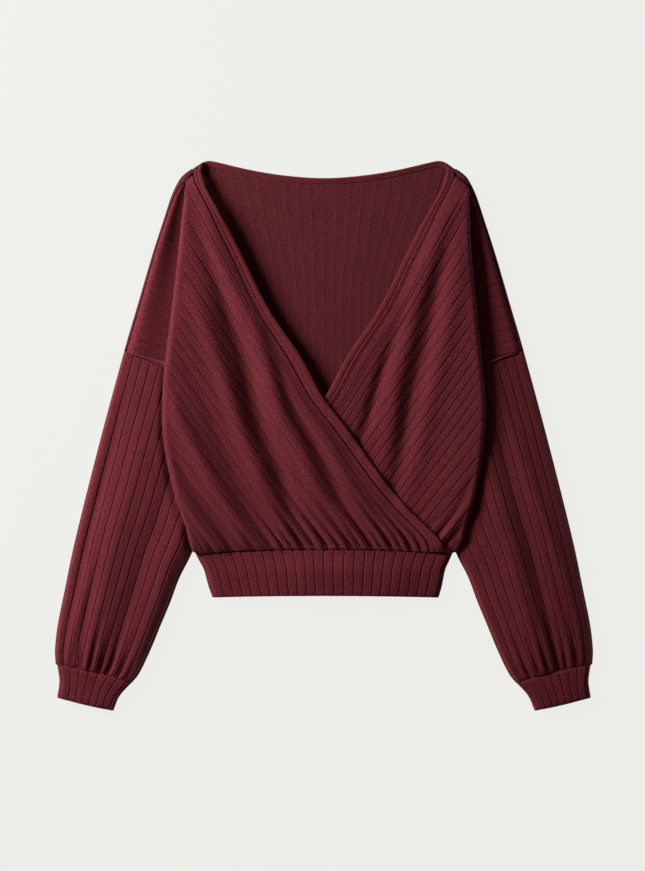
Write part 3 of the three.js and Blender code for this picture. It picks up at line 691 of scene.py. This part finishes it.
# Back: rows from the neck to the waist, curled up along the shoulders to meet the fronts.
CURL_STATIONS = np.array([0.15, 0.3, 0.45, 0.6, 0.8, 1])
CURL_RADIUS = SLEEVE_EDGE_RADIUS - WALL / 2
NECK_DIP_FADE = 60
FLAT_STEP = 0.5
BACK_TOP = 334
BACK_SEAM_GAP = 2 * SEAM
BACK_NECK_GAP = -0.1
EDGE_PULL = 60
SHOULDER_ROWS = np.concatenate([np.linspace(BACK_TOP, 300, 14), np.linspace(294, 106.2, 26)])
ARMHOLE_ROWS = np.linspace(0, 1, 12)
SIDE_ROWS = np.linspace(-30, SIDE_SEAM["y"][-1], 12)

# The curled shoulder edge reaches further in beside the neckband's end.
RIM_REACH = 2.8
RIM_REACH_Y = 328.6
RIM_REACH_SPREAD = 3.4

# Ribs of each half of the back: the inner ones have their own pitch, the others fill the rest.
BACK_PITCH = table("y pitch", (331, 16.6), (313, 16.1), (247, 13.75), (182, 11.4), (60, 11.25))
BACK_INNER_RIBS = 9
BACK_SIDE_RIBS = 12
LEAST_SIDE = 2
BACK_SAMPLES = np.array([0, 0.05, 0.1, 0.3, 0.5, 0.7, 0.9, 0.95])
BACK_RIDGE = 0.26
BACK_RIDGE_HALF = 0.055
back_pitch = through(BACK_PITCH, "y", "pitch")


def back_row(end_out, end_y, curl_share):
    """One row of the back from side to side, with where its ribs lie."""
    waist_end = SIDE_SEAM["y"][-1]
    neck_pull = math.exp(-(BACK_TOP - end_y) / NECK_DIP_FADE)
    waist_pull = math.exp(-(end_y - waist_end) / NECK_DIP_FADE)

    def row_y(x):
        neck = neckline(np.abs(x)) - neck_back_width(np.abs(x)) - BACK_NECK_GAP - BACK_TOP
        return end_y + neck_pull * neck + waist_pull * (waist_seam(x) - waist_seam(end_out))

    flat_half = end_out - CURL_RADIUS * curl_share - FLAT_STEP
    pitch = min(float(back_pitch(end_y)), (flat_half - LEAST_SIDE) / BACK_INNER_RIBS)
    ribs = rib_stations(BACK_INNER_RIBS + BACK_SIDE_RIBS, BACK_SAMPLES)
    side_pitch = (flat_half - BACK_INNER_RIBS * pitch) / BACK_SIDE_RIBS
    half = np.where(
        ribs < BACK_INNER_RIBS, ribs * pitch,
        BACK_INNER_RIBS * pitch + (ribs - BACK_INNER_RIBS) * side_pitch,
    )
    strength = np.where(ribs <= BACK_INNER_RIBS, 1, min(1, side_pitch / RIB_PITCH))
    x = np.concatenate([-half[:0:-1], half])
    at = np.concatenate([-ribs[:0:-1], ribs])
    strength = np.concatenate([strength[:0:-1], strength])
    edge_y = min(float(row_y(end_out)), end_y)
    y = mix(row_y(x), edge_y, np.abs(x / flat_half) ** EDGE_PULL)
    reach = RIM_REACH * bell((end_y - RIM_REACH_Y) / RIM_REACH_SPREAD)
    strip = float(seam_inset(end_y)) + reach - BACK_SEAM_GAP - CURL_RADIUS - FLAT_STEP
    inset = curl_share * max(strip, 0)
    angle = np.pi * CURL_STATIONS * curl_share
    rim_out = flat_half + CURL_RADIUS * np.sin(angle) + (1 - curl_share) * FLAT_STEP * CURL_STATIONS
    rim_out = rim_out - inset * (CURL_STATIONS == 1)
    rim_z = WALL / 2 + CURL_RADIUS * (1 - np.cos(angle))
    flat = np.stack([x, y, np.full_like(x, WALL / 2)], axis=1)
    rim = np.stack([rim_out, np.full_like(rim_out, edge_y), rim_z], axis=1)
    points = np.concatenate([rim[::-1] * [-1, 1, 1], flat, rim])
    edge = np.zeros(len(rim))
    return points, np.concatenate([edge, strength, edge]), np.concatenate([edge, at, edge])


def back():
    rows = []
    for y in SHOULDER_ROWS:
        rows.append(back_row(float(outline(y)), y, 1))
    for t in ARMHOLE_ROWS:
        out, y = armhole(t)
        rows.append(back_row(float(out), float(y), 0))
    for y in SIDE_ROWS:
        rows.append(back_row(float(side_seam(y)), y, 0))
    sheet, strength, at = (np.array(part) for part in zip(*rows))
    ridge = bell(np.abs((at + 0.5) % 1 - 0.5) / BACK_RIDGE_HALF) * strength
    uv = np.stack([at * RIB_PITCH, sheet[..., 1]], axis=2)
    # Its right side is down: the grooves there are the ridges of its wrong side.
    every_row, every_column = (every(count, 1) for count in sheet.shape[:2])
    skin = shell(sheet, uv, -BACK_RIDGE * ridge, BACK_RIDGE * ridge, every_row, every_column)
    return skin.piece("back_cloth", inside, "jersey_inside", ["back"])


# Tubes: sleeves, cuffs and waistband. Marks round a ring count its four parts: each flat side
# ends a little before a whole number, and each edge keeps clear of one at both ends.
EDGE_ANGLES = np.radians(np.linspace(-75, 75, 8))
FLAT_END = 0.99
EDGE_START = 0.1


def tube_ring(place, top, radius, v, shares, raised, inward, under_shares, under_raised):
    """A ring round a flattened tube: its underside, one edge, its upper side, the other edge."""
    (ax, ay), (bx, by) = place(0.0, v), place(1.0, v)
    width = math.hypot(bx - ax, by - ay)
    corner = radius / width
    edge_u = (radius - inward) / width * np.cos(EDGE_ANGLES)
    edge_z = radius + (radius - inward) * np.sin(EDGE_ANGLES)
    upper = mix(corner, 1 - corner, shares)
    u = np.concatenate([
        mix(1 - corner, corner, under_shares), corner - edge_u, upper, (1 - corner + edge_u)[::-1],
    ])
    z = np.concatenate([
        inward - under_raised, edge_z, top(upper, v) - inward + raised, edge_z[::-1],
    ])
    out, y = place(u, v)
    girth = np.concatenate([
        2 * width + width * under_shares, np.zeros(len(EDGE_ANGLES)), width * shares,
        np.full(len(EDGE_ANGLES), width),
    ])
    return np.stack([out, np.broadcast_to(y, out.shape), z], axis=1), girth


def tube(place, top, radius, ribs, rows, thickness, end_dip=SEAM_DIP):
    """A flattened tube: place(u, v) gives its plan, top(u, v) the height of its upper side."""
    at = rib_stations(ribs)
    under_at = rib_stations(ribs, COARSE_SAMPLES)
    plain = np.linspace(0, 1, ribs * 2 + 1)
    depth = np.array([np.hypot(*np.subtract(place(0.5, v), place(0.5, 0.0))) for v in rows])
    from_end = np.minimum(depth, depth[-1] - depth)
    under = np.minimum(rib_raise(under_at) - RIB_RAISE - RIB_CROWN, 0)
    outer, inner = [], []
    for v, gap in zip(rows, from_end):
        dip = end_dip * bell(gap / SEAM_DIP_WIDTH)
        raised = rib_raise(at) - dip
        sunk = 0 * plain - dip
        outer.append(tube_ring(place, top, radius, v, at / ribs, raised, 0, under_at / ribs, under))
        inner.append(tube_ring(place, top, radius, v, plain, sunk, thickness, plain, 0 * plain))
    skin = Skin()
    loops = []
    for rings, turned in ((outer, False), (inner, True)):
        points, girth = (np.array(part) for part in zip(*rings))
        uv = np.stack([girth, np.repeat(depth[:, None], girth.shape[1], 1)], axis=2)
        index = skin.grid(points, uv, closed=True, turned=turned)
        loops.append(np.append(index, index[:, :1], axis=1))

    def around(under_count, upper_count):
        edges = len(EDGE_ANGLES)
        return np.concatenate([
            np.linspace(0, FLAT_END, under_count),
            np.linspace(1 + EDGE_START, 2 - EDGE_START, edges),
            np.linspace(2, 2 + FLAT_END, upper_count),
            np.linspace(3 + EDGE_START, 4 - EDGE_START, edges),
            [4],
        ])

    outer_at, inner_at = around(len(under_at), len(at)), around(len(plain), len(plain))
    first, last = ([loop[end] for loop in loops] for end in (0, -1))
    skin.strip(first[0][::-1], first[1][::-1], -outer_at[::-1], -inner_at[::-1])
    skin.strip(last[0], last[1], outer_at, inner_at)
    return skin


def waves(rows, u, v):
    """Slow waves of a top or an edge, from a table of them."""
    height = 0
    for rise, across, along, start in zip(*rows.values()):
        height = height + rise * np.sin(2 * np.pi * (across * u + along * v + start))
    return height


# Long soft folds of a sleeve: where they lie across it at both ends, and how far they run.
SLEEVE_FOLDS = {
    "right": table(
        "u to_u start end rise width",
        (0.34, 0.4, 0.15, 1.1, 3.9, 0.1),
        (0.68, 0.66, 0.15, 1.1, -4.4, 0.08),
        (0.86, 0.92, 0.15, 1.15, 5.4, 0.07),
        (0.12, 0.12, 0.05, 1.05, -5.4, 0.042),
        (0.2, 0.21, 0.6, 1.1, 2.4, 0.04),
        (0.24, 0.29, 0.65, 1.06, -3, 0.045),
    ),
    "left": table(
        "u to_u start end rise width",
        (0.52, 0.65, 0.15, 1.1, 4, 0.1),
        (0.4, 0.42, 0.15, 1.08, -3.6, 0.07),
        (0.34, 0.1, 0.1, 1.08, 3, 0.06),
        (0.93, 0.9, 0.5, 1.02, -1.6, 0.04),
    ),
}
SLEEVE_FOLD_TAPER = 0.8

# Gathers where a sleeve runs into its cuff: a trough for each, with a smaller ridge beside it.
GATHER_FULLNESS = 0.9
GATHER_START = 0.012
GATHER_WIDTH = 0.026
GATHER_RIDGE = 0.6
GATHER_RIDGE_SHIFT = 0.05
GATHER_RIDGE_WIDTH = 0.028
CUFF_GATHERS = table(
    "u depth reach",
    (0.1, 2, 0.1), (0.22, 2.8, 0.13), (0.34, 2.2, 0.1), (0.45, 3.2, 0.17), (0.57, 2.4, 0.11),
    (0.68, 3, 0.14), (0.8, 3.2, 0.12), (0.91, 2, 0.09),
)

# Both fade towards the sleeve's edges and where the sleeve lies pressed flat.
SLEEVE_EDGE_TAPER = 0.4
RELEASED_HEIGHT = 4
SLEEVE_ROWS = np.concatenate([
    np.linspace(0, 0.04, 6), np.linspace(0.055, 0.84, 46), np.linspace(0.855, 0.985, 14),
    np.linspace(0.99, 1, 4),
])


def sleeve_folds(side, u, v):
    height = 0
    for u0, u1, start, end, rise, width in zip(*SLEEVE_FOLDS[side].values()):
        fade = arch((v - start) / (end - start)) ** SLEEVE_FOLD_TAPER
        height = height + rise * fade * bell((u - mix(u0, u1, v)) / width)
    for at, depth, reach in zip(*CUFF_GATHERS.values()):
        fade = bell((1 - v) / reach) * (1 - np.exp(-(1 - v) / GATHER_START))
        ridge = GATHER_RIDGE * bell((u - at - GATHER_RIDGE_SHIFT) / GATHER_RIDGE_WIDTH)
        wave = bell((u - at) / GATHER_WIDTH) - ridge
        height = height - GATHER_FULLNESS * depth * fade * wave
    return height * arch(u) ** SLEEVE_EDGE_TAPER


def sleeve(side):
    def top(u, v):
        pressed = sleeve_top(side, u, v)
        free = np.clip((pressed - 2 * SLEEVE_EDGE_RADIUS) / RELEASED_HEIGHT, 0, 1)
        return pressed + free * sleeve_folds(side, u, v)

    skin = tube(sleeve_place, top, SLEEVE_EDGE_RADIUS, SLEEVE_RIBS, SLEEVE_ROWS, WALL)
    return skin.piece("sleeve_" + side + "_cloth", jersey, "rib_jersey", ["sleeve_" + side], SIGN[side])


# Cuffs: how their tops dome and wave.
CUFF_TOP = CUFF_THICKNESS - 0.6
CUFF_DOME = 2.6
CUFF_END_DIP = 1.4
CUFF_WAVES = table("rise across along start", (0.35, 1.3, 0.4, 0), (0.25, 2.9, 0, 0.1))
CUFF_ROWS = np.concatenate([
    np.linspace(0, 0.1, 5), np.linspace(0.15, 0.85, 12), np.linspace(0.9, 1, 5),
])


def cuff(side):
    column = {name: through(CUFF, "along", name) for name in CUFF}

    def place(u, v):
        out = mix(column["outer"](v), column["inner"](v), u)
        y = mix(column["outer_y"](v), column["inner_y"](v), u)
        return out, y + 4 * column["bow"](v) * u * (1 - u)

    def top(u, v):
        return CUFF_TOP + waves(CUFF_WAVES, u, v) + CUFF_DOME * arch(u)

    skin = tube(place, top, CUFF_THICKNESS / 2, CUFF_RIBS, CUFF_ROWS, DOUBLED_WALL, CUFF_END_DIP)
    return skin.piece("cuff_" + side + "_cloth", jersey, "rib_jersey", ["cuff_" + side], SIGN[side])


# Waistband: its ribs sway and its upper corners rise to the side seams.
WAISTBAND_SHIFT = 2
WAISTBAND_SWAY = table("rise across along start", (0.9, 3.1, 0, 0.15))
WAIST_CORNER = 1.6
WAIST_CORNER_OUT = 154
WAIST_CORNER_FADE = 7
WAISTBAND_END_DIP = 0.7
WAISTBAND_ROWS = np.concatenate([
    np.linspace(0, 0.08, 6), np.linspace(0.12, 0.88, 16), np.linspace(0.92, 1, 6),
])

# Its top waves and is domed, with a flatter dome beside the waist seam.
WAISTBAND_TOP = WAISTBAND_THICKNESS - 0.8
WAISTBAND_WAVES = table("rise across along start", (0.5, 2.2, 0.3, 0.1), (0.3, 5.3, 0, 0))
WAISTBAND_DOME = 8.5
DOME_LEAN = 1.1
DOME_FADE = 0.5
SEAM_DOME = 1.1
SEAM_DOME_FULLNESS = 0.3
SEAM_DOME_FADE = 0.3


def waistband():
    def place(u, v):
        sway = waves(WAISTBAND_SWAY, u, v) * np.sin(np.pi * v)
        x = mix(-1, 1, u) * waistband_half(v) + sway * arch(u)
        x = x + WAISTBAND_SHIFT * v
        corner = WAIST_CORNER * ease((np.abs(x) - WAIST_CORNER_OUT) / WAIST_CORNER_FADE)
        hem = HEM_Y - HEM_DIP * (x / WAISTBAND["half"][-1]) ** 2
        return x, mix(waist_seam(x) - CLOSED_SEAM + corner, hem, v)

    def top(u, v):
        wave = waves(WAISTBAND_WAVES, u, v) * np.sin(np.pi * v) ** 0.5
        dome = WAISTBAND_DOME * arch(np.clip(u, 0, 1) ** DOME_LEAN) * ease(v / DOME_FADE)
        seam_dome = SEAM_DOME * arch(u) ** SEAM_DOME_FULLNESS * (1 - ease(v / SEAM_DOME_FADE))
        return WAISTBAND_TOP + wave + dome + seam_dome

    skin = tube(
        place, top, WAISTBAND_EDGE_RADIUS, WAISTBAND_RIBS, WAISTBAND_ROWS, DOUBLED_WALL,
        WAISTBAND_END_DIP,
    )
    return skin.piece("waistband_cloth", jersey, "rib_jersey", ["waistband"])


# Neckbands: a doubled strip with a squarish section, pulled in along two rows of sewing.
BAND_WIDTH = 14
BAND_SAMPLES = 40
BAND_SQUARENESS = 5
BAND_ROLL = table("place height width", (0.25, 0.1, 0.18))
SEWN_ROWS = table("place depth width", (0.57, 0.3, 0.045), (0.86, 0.26, 0.04))
SEWN_LEAST = 0.2

# The ends of the front bands settle on the back's band, and the seam allowances under them
# fill them down to the back.
NECKBAND_LIFT = 0.5
NECKBAND_SETTLE = 2
SETTLE_START = 326
SETTLE_REACH = 14
SEAM_FILL = 4
FILL_START = 322
FILL_REACH = 4
FILL_LEAST = 1.7
NECKBAND_ROWS = np.concatenate([[331], np.linspace(326, 300, 12), np.linspace(297, -139.5, 190)])
BACK_BAND_SECTIONS = 130

# Stitches: small rounded grains, each a few rings of points, and how high up a band they lie.
STITCH_LENGTH = 2.6
STITCH_GAP = 1.3
STITCH_RADIUS = 0.42
STITCH_END = 0.12
STITCH_FULLNESS = 0.6
STITCH_RINGS = 6
STITCH_SIDES = 6
STITCH_PLACE = SEWN_ROWS["place"][0]
STITCH_LIFT = 0.24
BACK_STITCH_PLACE = 0.7
BACK_STITCH_LIFT = 0.88


def bells(rows, x):
    """Sum of a few bells along a line, from a table of their place, height and width."""
    return sum(height * bell((x - place) / width) for place, height, width in zip(*rows.values()))


def band_section():
    """A doubled band's section: its places across and how far up each is, all round."""
    across = (1 - np.cos(np.linspace(0, np.pi, BAND_SAMPLES))) / 2
    round_off = (1 - np.abs(2 * across - 1) ** BAND_SQUARENESS) ** 0.5 / 2
    sewn = bells(SEWN_ROWS, across)
    upper = round_off - sewn * (round_off > SEWN_LEAST) + bells(BAND_ROLL, across)
    return np.append(across, across[-2:0:-1]), np.append(upper, -round_off[-2:0:-1])


def band(name, start, end, height, node, sign=1, seam_filled=False):
    """A doubled band between two edges, closed at both ends."""
    across, up = band_section()
    plan = mix(start[:, None], end[:, None], across[None, :, None])
    middle = height(plan[..., 0], plan[..., 1])
    z = middle + up * NECKBAND_THICKNESS
    if seam_filled:
        fill = SEAM_FILL * ease((plan[..., 1] - FILL_START) / FILL_REACH)
        z = np.where(up < 0, np.maximum(z - fill, np.minimum(z, FILL_LEAST)), z)
    points = np.concatenate([plan, z[..., None]], axis=2)
    along = np.append(0, np.cumsum(np.linalg.norm(np.diff(start, axis=0), axis=1)))
    uv = np.stack(np.broadcast_arrays(across * BAND_WIDTH, along[:, None]), axis=2)
    skin = Skin()
    index = skin.grid(points, uv, closed=True)
    for ring, turn in ((index[0], -1), (index[-1], 1)):
        pairs = zip(ring[1:-1], ring[2:])
        skin.faces += [[int(ring[0]), int(a), int(b)][::-turn] for a, b in pairs]
    return skin.piece(name, trim, "neckband", [node], sign)


def stitches(name, path, sign=1):
    """A row of stitches lying on a path, as small rounded grains."""
    steps = np.linalg.norm(np.diff(path, axis=0), axis=1)
    at = np.append(0, np.cumsum(steps))
    starts = np.arange(STITCH_GAP, at[-1] - STITCH_LENGTH, STITCH_LENGTH + STITCH_GAP)
    skin = Skin()
    swell = np.sin(np.linspace(STITCH_END, np.pi - STITCH_END, STITCH_RINGS)) ** STITCH_FULLNESS
    turn = np.linspace(0, 2 * np.pi, STITCH_SIDES + 1)[:-1]
    for s in starts:
        spine_at = np.linspace(s, s + STITCH_LENGTH, STITCH_RINGS)
        spine = np.stack([np.interp(spine_at, at, path[:, k]) for k in range(3)], axis=1)
        forward = spine[-1] - spine[0]
        side = np.array([-forward[1], forward[0], 0]) / math.hypot(forward[0], forward[1])
        up = np.array([0, 0, 1])
        ring = np.cos(turn)[:, None] * side + np.sin(turn)[:, None] * up
        points = spine[:, None] + STITCH_RADIUS * swell[:, None, None] * ring[None]
        index = skin.grid(points, points[..., :2], closed=True)
        for end, flip in ((index[0], -1), (index[-1], 1)):
            skin.faces.append([int(i) for i in end[::flip]])
    return skin.piece(name, thread, "neckband", sign=sign)


def neckband(side):
    y = np.append(NECKBAND_ROWS[:-1], upper_y(0)[-1])
    start = np.stack([front_edge(y), y], axis=1)
    end = np.stack([neck_seam(y) - 2 * SEAM, y], axis=1)
    start, end = np.vstack([NECKBAND_TOP[0], start]), np.vstack([NECKBAND_TOP[1], end])

    def height(out, at):
        settle = NECKBAND_SETTLE * ease((at - SETTLE_START) / SETTLE_REACH)
        return front_height(side, out, at) + NECKBAND_LIFT - settle

    made = band(
        "neckband_" + side + "_cloth", start, end, height, "neckband_" + side, SIGN[side],
        seam_filled=True,
    )
    plan = mix(start, end, STITCH_PLACE)[1:]
    lift = NECKBAND_THICKNESS * STITCH_LIFT
    path = np.column_stack([plan, height(plan[:, 0], plan[:, 1]) + lift])
    row = stitches("neckband_" + side + "_stitches", path, SIGN[side])
    return made, row


def neckband_back():
    ends = NECKLINE["out"][-1]
    x = np.linspace(-ends, ends, BACK_BAND_SECTIONS)
    start = np.stack([x, neckline(np.abs(x))], axis=1)
    end = start - np.stack([0 * x, neck_back_width(np.abs(x))], axis=1)

    def height(out, y):
        return np.full_like(out, NECKBAND_THICKNESS / 2)

    made = band("neckband_back_cloth", start, end, height, "neckband_back")
    plan = mix(start, end, BACK_STITCH_PLACE)
    path = np.column_stack([plan, np.full(len(x), NECKBAND_THICKNESS * BACK_STITCH_LIFT)])
    return made, stitches("neckband_back_stitches", path)


# Materials.
YARN_SHARE = 0.88
CLOUD_SHARE = 0.12
DARK_END = 0.36
LIGHT_END = 0.64


def srgb(*values):
    shares = np.array(values) / 255
    return tuple(np.where(shares <= 0.04045, shares / 12.92, ((shares + 0.055) / 1.055) ** 2.4)) + (1,)


def cloth(name, dark, light, bump=0.6):
    """Fine jersey knit: rows of small stitches along the ribs, with a faint melange."""
    material = bpy.data.materials.new(name)
    material.use_nodes = True
    nodes, links = material.node_tree.nodes, material.node_tree.links
    shader = nodes["Principled BSDF"]
    place = nodes.new("ShaderNodeTexCoord")

    def noise(scale, detail, stretch):
        mapping = nodes.new("ShaderNodeMapping")
        mapping.inputs["Scale"].default_value = stretch
        links.new(place.outputs["UV"], mapping.inputs["Vector"])
        texture = nodes.new("ShaderNodeTexNoise")
        texture.inputs["Scale"].default_value = scale
        texture.inputs["Detail"].default_value = detail
        links.new(mapping.outputs["Vector"], texture.inputs["Vector"])
        return texture

    yarn = noise(scale=0.34, detail=3, stretch=(0.9, 1.5, 1))
    cloud = noise(scale=0.03, detail=2, stretch=(1, 1, 1))
    blend = nodes.new("ShaderNodeMath")
    blend.operation = "MULTIPLY_ADD"
    blend.inputs[1].default_value = CLOUD_SHARE
    links.new(cloud.outputs["Fac"], blend.inputs[0])
    share = nodes.new("ShaderNodeMath")
    share.operation = "MULTIPLY"
    share.inputs[1].default_value = YARN_SHARE
    links.new(yarn.outputs["Fac"], share.inputs[0])
    links.new(share.outputs[0], blend.inputs[2])
    ramp = nodes.new("ShaderNodeValToRGB")
    ramp.color_ramp.elements[0].position = DARK_END
    ramp.color_ramp.elements[0].color = dark
    ramp.color_ramp.elements[1].position = LIGHT_END
    ramp.color_ramp.elements[1].color = light
    links.new(blend.outputs[0], ramp.inputs["Fac"])
    links.new(ramp.outputs["Color"], shader.inputs["Base Color"])

    wales = nodes.new("ShaderNodeTexWave")
    wales.wave_type = "BANDS"
    wales.bands_direction = "X"
    wales.inputs["Scale"].default_value = 0.32
    wales.inputs["Distortion"].default_value = 1.2
    wales.inputs["Detail"].default_value = 1
    links.new(place.outputs["UV"], wales.inputs["Vector"])
    height = nodes.new("ShaderNodeMath")
    height.operation = "ADD"
    links.new(wales.outputs["Fac"], height.inputs[0])
    links.new(yarn.outputs["Fac"], height.inputs[1])
    relief = nodes.new("ShaderNodeBump")
    relief.inputs["Strength"].default_value = bump
    relief.inputs["Distance"].default_value = 0.0005
    links.new(height.outputs[0], relief.inputs["Height"])
    links.new(relief.outputs["Normal"], shader.inputs["Normal"])
    shader.inputs["Roughness"].default_value = 0.85
    shader.inputs["Specular IOR Level"].default_value = 0.26
    shader.inputs["Sheen Weight"].default_value = 0.16
    shader.inputs["Sheen Roughness"].default_value = 0.45
    shader.inputs["Sheen Tint"].default_value = srgb(226, 165, 172)
    return material


jersey = cloth("rib_jersey_knit", srgb(78, 15, 23), srgb(119, 34, 44))
inside = cloth("jersey_inside_knit", srgb(72, 14, 22), srgb(102, 27, 35))
trim = cloth("neckband_knit", srgb(80, 16, 24), srgb(119, 34, 44), 0.4)
thread = cloth("neckband_thread", srgb(112, 38, 47), srgb(134, 54, 64), 0.15)

# Pieces.
back_cloth = back()
neck_cloth, neck_row = neckband_back()
waist_cloth = waistband()
for side in SIGN:
    front_cloth = front(side)
    band_cloth, band_row = neckband(side)
    sleeve_cloth = sleeve(side)
    cuff_cloth = cuff(side)

# Floor that glows like a light table, a window on the left, and the camera.
FLOOR_SIZE = 12
PIXEL = 1.25
FRAME_PIXELS = (645, 871)
CENTRE_PIXEL = (323.96, 435.5)
LENS = 100
SENSOR = 36
SHARP_LEVEL = 0.008

bpy.ops.mesh.primitive_plane_add(size=FLOOR_SIZE, location=(0, 0, 0))
floor = bpy.context.object
floor.name = "floor"
floor_material = bpy.data.materials.new("pale_floor")
floor_material.use_nodes = True
floor_shader = floor_material.node_tree.nodes["Principled BSDF"]
floor_shader.inputs["Base Color"].default_value = srgb(44, 44, 43)
floor_shader.inputs["Emission Color"].default_value = srgb(238, 239, 234)
floor_shader.inputs["Emission Strength"].default_value = 0.965
floor_shader.inputs["Roughness"].default_value = 0.9
floor_shader.inputs["Specular IOR Level"].default_value = 0.1
floor.data.materials.append(floor_material)

world = bpy.data.worlds.new("soft_room")
world.use_nodes = True
world.node_tree.nodes["Background"].inputs["Color"].default_value = (1, 0.85, 0.85, 1)
world.node_tree.nodes["Background"].inputs["Strength"].default_value = 0.085
bpy.context.scene.world = world


def aim(obj, target):
    direction = np.array(target) - np.array(obj.location)
    obj.rotation_euler = Vector(direction).to_track_quat("-Z", "Y").to_euler()


window = bpy.data.lights.new("window_light", "AREA")
window.energy = 53
window.shape = "DISK"
window.size = 0.8
window_object = bpy.data.objects.new("window_light", window)
bpy.context.scene.collection.objects.link(window_object)
window_object.location = (-1.45, 0.75, 0.86)
aim(window_object, (0, 0, 0))

camera = bpy.data.cameras.new("camera")
camera.lens = LENS
camera.sensor_width = SENSOR
height_m = FRAME_PIXELS[1] * PIXEL * MM
camera_object = bpy.data.objects.new("camera", camera)
bpy.context.scene.collection.objects.link(camera_object)
camera_object.location = (
    (FRAME_PIXELS[0] / 2 - CENTRE_PIXEL[0]) * PIXEL * MM,
    (CENTRE_PIXEL[1] - FRAME_PIXELS[1] / 2) * PIXEL * MM,
    height_m * LENS / SENSOR + SHARP_LEVEL,
)
camera.clip_end = 20
bpy.context.scene.camera = camera_object
bpy.context.scene.view_settings.view_transform = "Standard"
